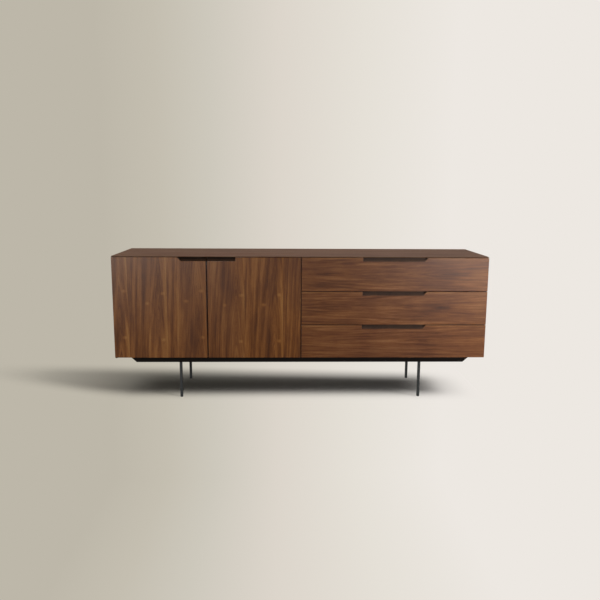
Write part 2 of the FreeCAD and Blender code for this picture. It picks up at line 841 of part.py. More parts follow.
def make_legs():
    """A square bar on a plate that is let into the base, and its three mirror images."""
    body = new_body("leg_front_left")
    half = "leg_plate_width / 2"
    x = (f"-leg_across - {half}", f"-leg_across + {half}")
    y = ("plate_front", "plate_front + leg_plate_depth")
    sketch = rectangle(body, "leg_plate", "XY_Plane", "base_bottom", (x[0], y[0]), (x[1], y[1]))
    pad(body, sketch, "leg_plate_thickness")
    low = ("-leg_across - leg_bar / 2", "-leg_along - leg_bar / 2")
    high = ("-leg_across + leg_bar / 2", "-leg_along + leg_bar / 2")
    bar = rectangle(body, "leg_bar_profile", "XY_Plane", "base_bottom", low, high)
    pad(body, bar, "leg_height", -1)
    hole = [("-leg_across", "-leg_along")]
    radius = "glide_stub_radius + wood_fit"
    depth = "glide_stub_length + wood_fit"
    drill(body, "glide_hole", "XY_Plane", "glide_height", hole, radius, depth, 1)
    places = leg_screw_places()[:4]
    radius = "leg_screw_radius + wood_fit"
    drill(body, "leg_plate_holes", "XY_Plane", "base_bottom", places, radius, "leg_plate_thickness", 1)
    radius = "leg_screw_head_radius + wood_fit"
    sink = "leg_screw_head_height"
    drill(body, "leg_plate_sinks", "XY_Plane", "base_bottom", places, radius, sink, 1)

    def upright(edge):
        return edge.BoundBox.ZLength > value("leg_height / 2")

    fillet(body, "leg_round", "edge_round", upright)
    piece(body, "leg_front_left")
    front_right = mirrored("leg_front_right", body, ACROSS, "0")
    back_left = mirrored("leg_back_left", body, ALONG, "0")
    back_right = mirrored("leg_back_right", front_right, ALONG, "0")
    piece(front_right, "leg_front_right")
    piece(back_left, "leg_back_left")
    piece(back_right, "leg_back_right")


def make_leg_glides():
    glides = []
    for side in (-1, 1):
        for end in (-1, 1):
            name = f"glide_{'left' if side < 0 else 'right'}_{'front' if end < 0 else 'back'}"
            x = f"{side} * leg_across"
            y = f"{end} * leg_along"
            half = "glide_width / 2"
            pad_block = block(name + "_pad", (f"{x} - {half}", f"{x} + {half}"),
                              (f"{y} - {half}", f"{y} + {half}"), ("0", "glide_height"))
            stub = cylinder(name + "_stub", "glide_stub_radius",
                            "glide_height / 2 + glide_stub_length", (x, y, "glide_height / 2"), UPWARD)
            glides.append(joined(name, [pad_block, stub]))
    return group("leg_glides", glides)


# Pivot hinges: brackets let into the case, pins, and bushes in the doors' corners
def four_of(label, source):
    """The upper left piece with its mirror images below it and on the right door."""
    low = mirrored(label + "_low", source, UPWARD, "middle_height")
    right = mirrored(label + "_right", source, ACROSS, "door_middle")
    right_low = mirrored(label + "_right_low", low, ACROSS, "door_middle")
    return group(label, [source, low, right, right_low])


def make_pivot_brackets():
    body = new_body("bracket")
    tip = [("pivot_x", "pivot_y")]
    disc = circles(body, "bracket_tip_circle", "XY_Plane", "bracket_under", tip, "bracket_tip")
    pad(body, disc, "bracket_thickness")
    outer, inner = "pivot_x + bracket_tip", "bracket_left + bracket_width"
    seat = "case_front + bracket_thickness"
    points = [("bracket_left", "pivot_y"), (outer, "pivot_y"), (outer, "case_front"),
              (inner, "case_front"), (inner, seat), ("bracket_left", seat)]
    arm = outline(body, "bracket_arm", "XY_Plane", "bracket_under", points)
    pad(body, arm, "bracket_thickness")
    corner = (BRACKET_SPAN[0], MORTISE_TOP)
    opposite = (BRACKET_SPAN[1], "bracket_top")
    flange = rectangle(body, "bracket_flange", "XZ_Plane", "case_front", corner, opposite)
    pad(body, flange, "bracket_thickness")
    hole = "pivot_pin_radius + running_fit / 2"
    drill(body, "bracket_pin_hole", "XY_Plane", "bracket_under", tip, hole, "bracket_thickness", 1)
    centres = [("bracket_middle", "bracket_screw_high"), ("bracket_middle", "bracket_screw_low")]
    hole = "bracket_screw_radius + wood_fit"
    depth = "bracket_thickness"
    drill(body, "bracket_screw_holes", "XZ_Plane", "case_front", centres, hole, depth, 1)
    hole = "bracket_screw_head_radius + wood_fit"
    depth = "bracket_screw_head_height"
    drill(body, "bracket_screw_sinks", "XZ_Plane", "case_front", centres, hole, depth, 1)
    four_of("pivot_brackets", body)
    screws = []
    for number, (x, z) in enumerate(centres):
        place = (x, "case_front", z)
        screws.append(screw(f"bracket_screw_{number}", "bracket_screw", place, ALONG,
                            "bracket_screw_length"))
    pair = document.addObject("Part::Compound", "bracket_screw_pair")
    pair.Links = screws
    four_of("bracket_screws", pair)
    start = "fronts_top - pivot_pin_reach"
    length = "pivot_pin_reach + bracket_gap + bracket_thickness"
    pin = cylinder("pivot_pin", "pivot_pin_radius", length, ("pivot_x", "pivot_y", start), UPWARD)
    four_of("pivot_pins", pin)


# Doors, each with its pull, bushes and strike plate; the right one mirrors the left one
def make_pull(label, left, right, slants, base):
    """A folded metal trough: floor, back, ends and a low lip in front; base is its floor."""
    body = new_body(label)
    top = f"{base} + pull_height"
    bottom = f"{base} + pull_fit"
    wall = "pull_sheet"

    def edges(inset, floor):
        """The trapezoid drawn in by an inset, with its ends still along the notch."""
        rise = f"(({floor}) - ({base})) / pull_height"
        lean_left = f"{slants[0]} * pull_slant * (1 - {rise})"
        lean_right = f"{slants[1]} * pull_slant * (1 - {rise})"
        return [(f"{left} + {inset}", top), (f"{left} + {inset} + {lean_left}", floor),
                (f"{right} - {inset} - {lean_right}", floor), (f"{right} - {inset}", top)]

    outer = outline(body, label + "_outer", "XZ_Plane", "front_face", edges("0", bottom))
    pad(body, outer, "front_thickness")
    floor = f"{bottom} + pull_sheet"
    start = f"front_face + {wall}"
    inner = outline(body, label + "_space", "XZ_Plane", start, edges(wall, floor))
    pocket(body, inner, f"front_thickness - 2 * {wall}")
    lip = outline(body, label + "_mouth", "XZ_Plane", "front_face", edges(wall, f"{base} + pull_lip"))
    pocket(body, lip, wall)

    def fold(edge):
        """The lower folds of the sheet, in front and behind."""
        box = edge.BoundBox
        at_floor = lies_at(box.ZMin, box.ZMax, value(bottom))
        return at_floor and (in_front(edge) or lies_at(box.YMin, box.YMax, value("front_back")))

    fillet(body, label + "_folds", "pull_bend", fold)
    return body


def notched_front(label, left, right, low, high, notch):
    """A front board with the notch for its pull in the top edge."""
    body = new_body(label)
    points = [(left, low), (right, low)] + notch + [(left, high)]
    profile = outline(body, label + "_profile", "XZ_Plane", "front_face", points)
    pad(body, profile, "front_thickness")
    return body


def make_door(label, hinged_edge, free_edge, notch, corner):
    """A door's board, notched beside its free edge and drilled for its two bushes."""
    door = notched_front(label, hinged_edge, free_edge, "fronts_bottom", "fronts_top", notch)
    hole = "bush_radius + wood_fit"
    depth = "bush_length + wood_fit"
    drill(door, label + "_bush_hole_top", "XY_Plane", "fronts_top", [corner], hole, depth, -1)
    drill(door, label + "_bush_hole_low", "XY_Plane", "fronts_bottom", [corner], hole, depth, 1)
    fillet(door, label + "_round", "edge_round", in_front)
    piece(door, label)


def make_door_boards():
    """The doors and their pulls: only a pull's end that faces the side of the case leans."""
    end = "door_middle - door_pull_reach"
    notch = [("door_free_edge", "notch_bottom"), (f"{end} + pull_slant", "notch_bottom"),
             (end, "fronts_top")]
    make_door("door_left", "-half_width", "door_free_edge", notch, ("pivot_x", "pivot_y"))
    pull = make_pull("door_left_pull", f"{end} + pull_fit", "door_free_edge", (1, 0), "notch_bottom")
    piece(pull, "door_left_pull")
    end = right_door(end)
    free_edge = right_door("door_free_edge")
    notch = [(free_edge, "notch_bottom"), (end, "notch_bottom"), (end, "fronts_top")]
    corner = (right_door("pivot_x"), "pivot_y")
    make_door("door_right", right_door("-half_width"), free_edge, notch, corner)
    pull = make_pull("door_right_pull", free_edge, f"{end} - pull_fit", (0, 0), "notch_bottom")
    piece(pull, "door_right_pull")


def make_door_fittings():
    """The bushes in a door's corners and the plate that its catch holds, on both doors."""
    corner = [("pivot_x", "pivot_y")]
    bush = new_body("bush")
    ring = circles(bush, "bush_ring", "XY_Plane", "fronts_top", corner, "bush_radius")
    pad(bush, ring, "bush_length", -1)
    bore = "pivot_pin_radius + running_fit"
    drill(bush, "bush_bore", "XY_Plane", "fronts_top", corner, bore, "bush_length", -1)
    low_bush = mirrored("bush_low", bush, UPWARD, "middle_height")
    bushes = group("door_left_bushes", [bush, low_bush])
    half = "strike_width / 2"
    top = "notch_bottom - strike_drop"
    strike = board("door_left_strike", (f"catch_middle - {half}", f"catch_middle + {half}"),
                   ("front_back", "case_front - strike_gap"), (f"{top} - strike_height", top))
    piece(strike, "door_left_strike")
    for label, source in (("door_right_bushes", bushes), ("door_right_strike", strike)):
        piece(mirrored(label, source, ACROSS, "door_middle"), label)


def make_door_catches():
    half = "catch_width / 2"
    across = (f"catch_middle - {half}", f"catch_middle + {half}")
    along = ("case_front", "case_front + catch_depth")
    height = ("top_board_under - catch_height", "top_board_under")
    catch = board("catch_left", across, along, height)
    return group("door_catches", [catch, mirrored("catch_right", catch, ACROSS, "door_middle")])


# Drawers: every piece is drawn for a front whose bottom edge is at zero, then lifted in place
def lift(body, label, number):
    bind(body, "Placement.Base.z", drawer_level(number))
    document.recompute()
    return piece(body, label)


def make_drawer_front(drawer, number):
    low_x = "drawer_middle - drawer_pull_width / 2"
    high_x = "drawer_middle + drawer_pull_width / 2"
    floor = "drawer_front_height - pull_height"
    top = "drawer_front_height"
    notch = [("half_width", top), (high_x, top), (f"{high_x} - pull_slant", floor),
             (low_x, floor), (low_x, top)]
    front = notched_front(drawer + "_front", "drawer_left_edge", "half_width", "0", top, notch)
    fillet(front, drawer + "_front_round", "edge_round", in_front)
    lift(front, drawer + "_front", number)
    ends = (f"{low_x} + pull_fit", f"{high_x} - pull_fit")
    pull = make_pull(drawer + "_pull", *ends, (0, 1), floor)
    lift(pull, drawer + "_pull", number)


def make_drawer_box(drawer, number):
    """Two sides, a front and a back with a groove round the inside for the bottom."""
    height = ("box_low", "box_high")
    depth = ("front_back", "box_back")
    groove = ("groove_low - wood_fit", "groove_high + wood_fit")
    reach = "groove_depth + wood_fit"
    run = ("front_back + box_side - groove_depth", "box_back - box_side + groove_depth")
    sides = {"left": ("box_outer_left", "box_inner_left"), "right": ("box_inner_right", "box_outer_right")}
    for side, span in sides.items():
        label = f"{drawer}_side_{side}"
        body = board(label, span, depth, height)
        face = (f"box_inner_left - ({reach})", "box_inner_left + cut_overrun")
        if side == "right":
            face = ("box_inner_right - cut_overrun", f"box_inner_right + {reach}")
        box_cut(body, label + "_groove", face, run, groove)
        lift(body, label, number)
    inside = ("box_inner_left", "box_inner_right")
    past = ("box_inner_left - cut_overrun", "box_inner_right + cut_overrun")
    front_inner = "front_back + box_side"
    label = drawer + "_box_front"
    body = board(label, inside, ("front_back", front_inner), height)
    face = (f"{front_inner} - ({reach})", f"{front_inner} + cut_overrun")
    box_cut(body, label + "_groove", past, face, groove)
    lift(body, label, number)
    back_inner = "box_back - box_side"
    label = drawer + "_box_back"
    body = board(label, inside, (back_inner, "box_back"), height)
    face = (f"{back_inner} - cut_overrun", f"{back_inner} + {reach}")
    box_cut(body, label + "_groove", past, face, groove)
    lift(body, label, number)
    across = ("box_inner_left - groove_depth", "box_inner_right + groove_depth")
    along = (f"{front_inner} - groove_depth", f"{back_inner} + groove_depth")
    body = board(drawer + "_bottom", across, along, ("groove_low", "groove_high"))
    lift(body, drawer + "_bottom", number)


def channel(name, web, flange, open_to, half_height, number, holes=()):
    """A channel along the depth, for the runner on the partition; web is its distance
    from the partition, and open_to is the side that it opens to."""
    body = new_body(name)
    near = f"partition_face + {web}"
    wall = "channel_wall"
    far = f"{near} + {open_to} * ({flange})"
    inside = f"{near} + {open_to} * {wall}"
    low = f"runner_axis - ({half_height})"
    high = f"runner_axis + ({half_height})"
    points = [(near, low), (far, low), (far, f"{low} + {wall}"), (inside, f"{low} + {wall}"),
              (inside, f"{high} - {wall}"), (far, f"{high} - {wall}"), (far, high), (near, high)]
    pad(body, outline(body, name + "_section", "XZ_Plane", "runner_front", points), "runner_length")
    if holes:
        radius = "runner_screw_radius + wood_fit"
        centres = [(end, "runner_axis") for end in holes]
        drill(body, name + "_holes", "YZ_Plane", near, centres, radius, wall, open_to)
    bind(body, "Placement.Base.z", drawer_level(number))
    document.recompute()
    return body


def runner_pair(name, web, flange, open_to, half_height, number, holes=()):
    left = channel(name + "_left", web, flange, open_to, half_height, number, holes)
    return [left, mirrored(name + "_right", left, ACROSS, "(partition_face + side_inner) / 2")]


def make_runners():
    outer_half = "runner_height / 2"
    middle_half = f"{outer_half} - channel_wall - channel_gap"
    inner_half = f"{middle_half} - channel_wall - channel_gap"
    outers = []
    for number, drawer in enumerate(DRAWERS):
        holes = runner_screw_ends()
        outers += runner_pair(drawer + "_outer", "0", "outer_flange", 1, outer_half, number, holes)
        pair = runner_pair(drawer + "_middle", "middle_web", "middle_flange", 1, middle_half, number)
        group(drawer + "_runner_middle", pair)
        pair = runner_pair(drawer + "_inner", "runner_thickness", "inner_flange", -1, inner_half, number)
        group(drawer + "_runner_inner", pair)
    group("runner_outer_members", outers)
    screws = []
    for number, (y, z) in enumerate(runner_screw_places()):
        heads = "channel_wall + runner_screw_head_height"
        left = (f"partition_face + {heads}", y, z)
        right = (f"side_inner - ({heads})", y, z)
        length = "runner_screw_head_height + runner_screw_length"
        for name, place, way in (("left", left, -ACROSS), ("right", right, ACROSS)):
            title = f"runner_screw_{name}_{number}"
            screws.append(screw(title, "runner_screw", place, way, length))
    group("runner_screws", screws)


def check_and_write():
    """Stop at any failed object or bad shape, then write one file for each sub-part."""
    for thing in document.Objects:
        if "Invalid" in thing.State or "Error" in thing.State:
            raise RuntimeError(f"{thing.Name} did not compute")
    for thing in pieces:
        if thing.Shape.isNull() or not thing.Shape.isValid():
            raise RuntimeError(f"{thing.Label} has no valid shape")
    os.makedirs("parts", exist_ok=True)
    for thing in pieces:
        thing.Shape.exportStep(f"parts/{thing.Label}.step")
    print(len(pieces), "pieces written")


make_top_face()
make_top_panel()
make_bottom_panel()
make_side_left()
make_side_right()
make_partition()
make_corner_splines()
make_partition_dowels()
make_back_panel()
make_shelf()
make_shelf_pins()
make_base_plate()
make_legs()
make_leg_glides()
make_pivot_brackets()
make_door_boards()
make_door_fittings()
make_door_catches()
for drawer_number, drawer_name in enumerate(DRAWERS):
    make_drawer_front(drawer_name, drawer_number)
    make_drawer_box(drawer_name, drawer_number)
make_runners()
document.recompute()
check_and_write()
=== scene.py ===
# %% [markdown]
# # A walnut buffet sideboard on slim black legs
# Two doors with upright grain stand beside three drawers whose grain runs lengthwise.
# Bent strips of bronzed steel in cut-outs of the fronts' top edges serve as pulls. The case
# stands on a black lacquered plinth with bevelled edges, and four square steel bars carry it.
# The boards, bars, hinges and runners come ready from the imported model. This lesson gives
# them their finishes, adds the small fasteners, and sets up the studio and the camera.

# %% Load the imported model
import math
import bmesh
import bpy
from mathutils import Matrix, Vector


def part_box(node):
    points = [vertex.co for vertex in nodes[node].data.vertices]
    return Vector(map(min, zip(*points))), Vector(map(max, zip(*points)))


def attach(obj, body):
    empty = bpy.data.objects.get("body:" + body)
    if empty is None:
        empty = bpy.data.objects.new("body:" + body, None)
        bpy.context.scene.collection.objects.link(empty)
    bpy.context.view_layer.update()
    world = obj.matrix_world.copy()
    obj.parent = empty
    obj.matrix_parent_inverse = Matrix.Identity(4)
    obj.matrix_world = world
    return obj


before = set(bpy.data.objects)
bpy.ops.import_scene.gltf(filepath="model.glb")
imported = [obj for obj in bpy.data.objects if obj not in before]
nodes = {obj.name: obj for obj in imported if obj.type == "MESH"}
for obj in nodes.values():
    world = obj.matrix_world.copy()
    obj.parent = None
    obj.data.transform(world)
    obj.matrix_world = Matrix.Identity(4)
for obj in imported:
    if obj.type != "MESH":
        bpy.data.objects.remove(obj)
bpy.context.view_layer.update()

# %% [markdown]
# ## Two helpers for every finish
# A colour is easiest to choose as the sRGB hex value that a paint chart or a photograph
# gives, but a shader's sockets take linear light, so one function turns the one into the
# other. A node tree is the same few steps again and again: a node is made, its options are
# set, and its sockets get a value or a link. One function does that for any kind of node,
# and returns the node's first output, ready to go into the next one.

# %% Colour and node helpers
def linear(colour):
    """The linear RGBA value of an sRGB hex colour."""
    shares = [int(colour[i:i + 2], 16) / 255 for i in (1, 3, 5)]
    return (*(s / 12.92 if s <= 0.04045 else ((s + 0.055) / 1.055) ** 2.4 for s in shares), 1.0)


def add(tree, kind, sockets=None, stops=None, **options):
    """Adds a node with its options, links and values. stops are a ramp's places and colours."""
    node = tree.nodes.new("ShaderNode" + kind)
    for name, value in options.items():
        setattr(node, name, value)
    for socket, value in (sockets or {}).items():
        if isinstance(value, bpy.types.NodeSocket):
            tree.links.new(value, node.inputs[socket])
        else:
            node.inputs[socket].default_value = linear(value) if isinstance(value, str) else value
    for place, colour in stops or ():
        node.color_ramp.elements.new(place).color = linear(colour)
    if stops:
        ramp = node.color_ramp.elements
        for _ in range(2):      # a new ramp has a black and a white stop of its own
            spare = [e for e in ramp if tuple(e.color) in ((0, 0, 0, 1), (1, 1, 1, 1))]
            ramp.remove(spare[0])
    return node.outputs[0] if node.outputs else node


def start_material(name):
    """A new material with an empty node tree, and its tree."""
    material = bpy.data.materials.new(name)
    material.use_nodes = True
    material.node_tree.nodes.clear()
    return material, material.node_tree


print("sRGB #808080 is linear", round(linear("#808080")[0], 3))

# %% [markdown]
# ## The camera
# The photograph looks at the fronts almost squarely, from 3.4 m away and a little above the
# top, with a slightly wide lens. The camera could be aimed with a Track To constraint, but
# its small roll and turn are part of the photographed view, so its three axes are worked
# out from the angles and written into its matrix.

# %% Camera
EYE = Vector((-0.0897, -3.5882, 1.1291))
TURN, DIP, ROLL = math.radians(1.426), math.radians(9.729), math.radians(0.313)

ahead = Vector((math.sin(TURN) * math.cos(DIP), math.cos(TURN) * math.cos(DIP), -math.sin(DIP)))
level = Vector((math.cos(TURN), -math.sin(TURN), 0))
upward = level.cross(ahead)
right = level * math.cos(ROLL) + upward * math.sin(ROLL)
top_side = upward * math.cos(ROLL) - level * math.sin(ROLL)

camera = bpy.data.objects.new("camera", bpy.data.cameras.new("camera"))
camera.data.sensor_width = 36
camera.data.lens = 38.27
camera.data.clip_end = 200
camera.matrix_world = Matrix((
    (right.x, top_side.x, -ahead.x, EYE.x),
    (right.y, top_side.y, -ahead.y, EYE.y),
    (right.z, top_side.z, -ahead.z, EYE.z),
    (0, 0, 0, 1)))
bpy.context.collection.objects.link(camera)
bpy.context.scene.camera = camera

# %% [markdown]
# ## The light
# The shadow on the floor tells where the key light stands: it falls to the left, and its
# edges are soft. A sun lamp with a wide disc gives that without making one end of the floor
# brighter. A second, wider one straight above and the pale surroundings fill the long shadow
# and leave the ground under the case dark. A weak one lifts the fronts, and one that shines
# from behind, nearly level, lights the back board. The waxed fronts show a faint haze at
# their upper left and right ends, the image of two tall soft boxes beside the camera, which
# only gloss can see, and a spot lights the drawers. Together they light a surface so that
# its colour renders about as it is written.

# %% Four suns
def aim(lamp, towards):
    """Turns a lamp so that it shines along a direction."""
    lamp.rotation_euler = Vector(towards).to_track_quat("-Z", "Y").to_euler()


lamps = {}
for name, energy, disc, direction in (      # disc is the sun's width in degrees
        ("key_light", 2.25, 28, (-1.0, 0.41, -0.92)),
        ("sky_light", 0.6, 80, (0, 0.1, -1)),
        ("front_light", 0.25, 20, (0.1, 1, -0.35)),
        ("back_light", 0.8, 40, (0.2, -1, -0.10))):
    lamps[name] = bpy.data.objects.new(name, bpy.data.lights.new(name, "SUN"))
    lamps[name].data.energy, lamps[name].data.angle = energy, math.radians(disc)
    aim(lamps[name], direction)
    bpy.context.collection.objects.link(lamps[name])
# Nearly level, the back light would shine on the top board, seen from in front.
lamps["back_light"].visible_glossy = False
print("suns:", ", ".join(lamps))

# %% Pale surroundings
def seen_directly(tree):
    """1 for a ray from the camera, off a shiny surface or through glass, and otherwise 0."""
    path = add(tree, "LightPath").node.outputs
    seen = add(tree, "Math", {0: path["Is Camera Ray"], 1: path["Is Glossy Ray"]},
               operation="MAXIMUM")
    return add(tree, "Math", {0: seen, 1: path["Is Transmission Ray"]}, operation="MAXIMUM")


world = bpy.data.worlds.new("surroundings")
bpy.context.scene.world = world
world.use_nodes = True
tree = world.node_tree
tree.nodes.clear()
# The light from all round is faint and a little cool, but what the camera, shiny pieces and
# glass see out there is as pale as the backdrop.
fill = add(tree, "Background", {"Color": "#f7faff", "Strength": 0.25})
pale = add(tree, "Background", {"Color": "#e5e0d7", "Strength": 1.0})
around = add(tree, "MixShader", {0: seen_directly(tree), 1: fill, 2: pale})
add(tree, "OutputWorld", {"Surface": around})

bpy.context.scene.view_settings.view_transform = "Standard"
print("world nodes:", len(tree.nodes))

# %% Soft boxes beside the camera
BOX_HEIGHT = 1.9
BOX_PLACE = -4.2        # both stand a little further back than the camera
for side, across, width, middle, energy in (("left", -2.4, 1.3, 2.1, 1050),
                                            ("right", 2.4, 1.9, 1.05, 330)):
    name = "soft_box_" + side
    soft_box = bpy.data.objects.new(name, bpy.data.lights.new(name, "AREA"))
    soft_box.data.shape = "RECTANGLE"
    soft_box.data.size, soft_box.data.size_y = width, BOX_HEIGHT
    soft_box.data.energy = energy
    soft_box.location = (across, BOX_PLACE, middle)
    soft_box.visible_diffuse = False
    aim(soft_box, (-across * 0.8, 4.0, -0.7))       # nearly at the case's middle
    bpy.context.collection.objects.link(soft_box)
    lamps[name] = soft_box
    print("soft box", side, energy, "W")

# %% Spot on the drawers
# Its middle passes beside the case, so that only its soft rim falls on the drawers.
spot_lamp = bpy.data.objects.new("drawer_light", bpy.data.lights.new("drawer_light", "SPOT"))
spot_lamp.data.energy = 300
spot_lamp.data.spot_size = math.radians(40)
spot_lamp.data.spot_blend = 1.0
spot_lamp.data.shadow_soft_size = 0.5
spot_lamp.location = (2.1, -3.7, 1.0)
beside_the_case = Vector((1.5, -0.23, 0.40))
aim(spot_lamp, beside_the_case - spot_lamp.location)
bpy.context.collection.objects.link(spot_lamp)
lamps["drawer_light"] = spot_lamp
print("spot", spot_lamp.data.energy, "W")

# %% [markdown]
# ## The floor and the backdrop
# The photograph's ground has no corner: floor and backdrop are one surface that goes from
# warm grey on the left to near white on the right. Here the floor is a wide sheet that
# bends up far behind the sideboard. Round the sideboard it is a matt surface that takes the
# shadow. Further out, rays from the camera and from shiny surfaces see its colour at full
# strength, so no lamp can leave a bright pool on it. The tint is darker on the left and
# paler on the right, and it fans out from the place where a visitor would stand.

# %% Floor and backdrop
SHEET_REACH, BEND_PLACE, BEND_RADIUS, WALL_HEIGHT = 60, 8, 4, 12      # metres


def made_verts(result):
    """The vertices among what an extrusion made."""
    return [v for v in result["geom"] if isinstance(v, bmesh.types.BMVert)]


def gradient_sheet():
    """A wide floor whose far edge is spun up through a quarter turn and extruded to a wall."""
    shape = bmesh.new()
    near = shape.edges.new([shape.verts.new((x, -SHEET_REACH, 0))
                            for x in (-SHEET_REACH, SHEET_REACH)])
    moved = made_verts(bmesh.ops.extrude_edge_only(shape, edges=[near]))
    bmesh.ops.translate(shape, verts=moved, vec=(0, SHEET_REACH + BEND_PLACE, 0))
    far = [e for e in shape.edges if all(v in moved for v in e.verts)]
    bmesh.ops.spin(shape, geom=far + moved, cent=(0, BEND_PLACE, BEND_RADIUS), axis=(1, 0, 0),
                   angle=math.pi / 2, steps=16, use_merge=False, use_duplicate=False)
    bmesh.ops.remove_doubles(shape, verts=shape.verts, dist=0.0001)
    rim = [e for e in shape.edges if all(v.co.z > BEND_RADIUS - 0.001 for v in e.verts)]
    wall = made_verts(bmesh.ops.extrude_edge_only(shape, edges=rim))
    bmesh.ops.translate(shape, verts=wall, vec=(0, 0, WALL_HEIGHT))
    bmesh.ops.recalc_face_normals(shape, faces=shape.faces)
    if min(shape.faces, key=lambda face: face.calc_center_median().z).normal.z < 0:
        bmesh.ops.reverse_faces(shape, faces=shape.faces)
    mesh = bpy.data.meshes.new("gradient_sheet")
    shape.to_mesh(mesh)
    shape.free()
    mesh.shade_smooth()
    return mesh


backdrop = bpy.data.objects.new("backdrop", gradient_sheet())
bpy.context.collection.objects.link(backdrop)
print("backdrop", [round(size, 1) for size in backdrop.dimensions], "m")

# %% Backdrop tint
backdrop_paper, tree = start_material("backdrop_paper")
spot = add(tree, "SeparateXYZ", {0: add(tree, "TexCoord").node.outputs["Object"]}).node.outputs
NEAREST = 2.4       # metres in front of the visitor, where the fan stops narrowing
sideways = add(tree, "Math", {0: spot["X"], 1: EYE.x}, operation="SUBTRACT")
distance = add(tree, "Math", {0: spot["Y"], 1: EYE.y}, operation="SUBTRACT")
distance = add(tree, "Math", {0: distance, 1: NEAREST}, operation="MAXIMUM")
fan = add(tree, "Math", {0: sideways, 1: distance}, operation="DIVIDE")
share = add(tree, "MapRange", {"Value": fan, "From Min": -0.28, "From Max": 0.26})
tint = add(tree, "ValToRGB", {"Fac": share}, stops=(
    (0.0, "#bdb7a9"), (0.16, "#c4beb0"), (0.31, "#cdc8bc"), (0.50, "#dcd5cb"),
    (0.74, "#e5e0d7"), (1.0, "#ede8e2")))
print("tints across the backdrop:", len(tint.node.color_ramp.elements))

# %% The part that takes the shadow
# It keeps to the ground that the shadow reaches. Its back edge runs at a slight slant, and
# past the left end of the case its front edge turns backwards, as the shadow's tail does.
BACK_SLANT, FRONT_SLANT, LEFT_END = 0.08, -0.4, -0.95
back_edge = add(tree, "Math", {0: spot["X"], 1: BACK_SLANT, 2: spot["Y"]}, operation="MULTIPLY_ADD")
beyond = add(tree, "Math", {0: LEFT_END, 1: spot["X"]}, operation="SUBTRACT")
beyond = add(tree, "Math", {0: beyond, 1: 0.0}, operation="MAXIMUM")
front_edge = add(tree, "Math", {0: beyond, 1: FRONT_SLANT, 2: spot["Y"]}, operation="MULTIPLY_ADD")
within = 1.0
for place, full, none in ((back_edge, 0.14, 0.42), (front_edge, -0.05, -0.27),
                          (spot["X"], 0.70, 1.02), (spot["X"], -0.80, -2.30)):
    share = add(tree, "MapRange", {"Value": place, "From Min": full, "From Max": none,
                                   "To Min": 1.0, "To Max": 0.0}, interpolation_type="SMOOTHSTEP")
    within = add(tree, "Math", {0: within, 1: share}, operation="MULTIPLY")
outside = add(tree, "Math", {0: 1.0, 1: within}, operation="SUBTRACT")
print("nodes up to the shadow's part:", len(tree.nodes))

# %% Backdrop paper
# Light that bounces off the paper meets a darker tone than the eye sees, or it would fill
# the shadow and colour the underside.
seen = seen_directly(tree)
paper = add(tree, "MixRGB", {0: seen, 1: "#7c776e", 2: tint})
matt = add(tree, "BsdfDiffuse", {"Color": paper})
glow = add(tree, "Emission", {"Color": tint, "Strength": 1.0})
far_and_seen = add(tree, "Math", {0: seen, 1: outside}, operation="MULTIPLY")
above = add(tree, "MixShader", {0: far_and_seen, 1: matt, 2: glow})
# From below, the sheet is clear, so the underside can be looked at through it.
beneath = add(tree, "NewGeometry").node.outputs["Backfacing"]
clear = add(tree, "BsdfTransparent")
add(tree, "OutputMaterial", {"Surface": add(tree, "MixShader", {0: beneath, 1: above, 2: clear})})
backdrop.data.materials.append(backdrop_paper)
print("backdrop paper:", len(tree.nodes), "nodes")

# %% [markdown]
# ## Black cards
# A studio keeps a lamp off the floor, or off a shiny piece, with black cards on stands.
# Modelled cards would show in the gloss and throw shadows of their own. Light linking does
# the same without them: a collection holds what a lamp may not reach. The haze of the soft
# boxes belongs to the fronts, so the top board is kept clear of both, and the dark pulls of
# the doors are kept clear of the strong one.

# %% Keep lamps off the floor and the shiny pieces
top_and_pulls = [nodes[name] for name in ("top_face", "door_left_pull", "door_right_pull")]
for where, shaded, names in (
        ("off_the_floor", [backdrop], ("front_light", "back_light", "drawer_light")),
        ("off_the_top", top_and_pulls[:1], ("soft_box_right",)),
        ("off_the_top_and_pulls", top_and_pulls, ("soft_box_left",))):
    cards = bpy.data.collections.new(where)
    for number, piece in enumerate(shaded):
        cards.objects.link(piece)
        cards.collection_objects[number].light_linking.link_state = "EXCLUDE"
    for name in names:
        lamps[name].light_linking.receiver_collection = cards
    print("kept", where + ":", ", ".join(names))
# The backdrop's wall would stop the light from behind, so it casts no shadow of that one.
lamps["back_light"].light_linking.blocker_collection = bpy.data.collections["off_the_floor"]

# %% [markdown]
# ## Walnut veneer
# The fronts are covered with sheets sliced from one log and laid side by side without
# turning, a slip match, so the same pointed figure comes back about every 210 mm. A slice
# through a log's rings shows nested arches because the blade cuts the tapering rings at a
# slant. The pattern does the same: the distance from a leaning heart line, in steps of one
# ring. Long streaks, pores and a slow drift between brown and plum finish it, and the doors
# have small pale eyes, the ends of twigs, at the same places on every leaf. Where fronts
# meet, a narrow band along the edges is painted dark. This is painted shade in the gap, so
# that a gap reads as one dark line. An oiled and waxed surface is satin, and its pores are
# fine grooves that dull it further.

# %% Walnut leaves
GRAIN = {"upright": (0, 0, 0), "upright on a side": (0, 0, math.pi / 2),
         "lengthwise": (0, math.pi / 2, 0), "lengthwise on a top": (0, math.pi / 2, math.pi / 2)}
SLIP = 0.03         # how far a leaf may lie further along the grain than the next, in metres


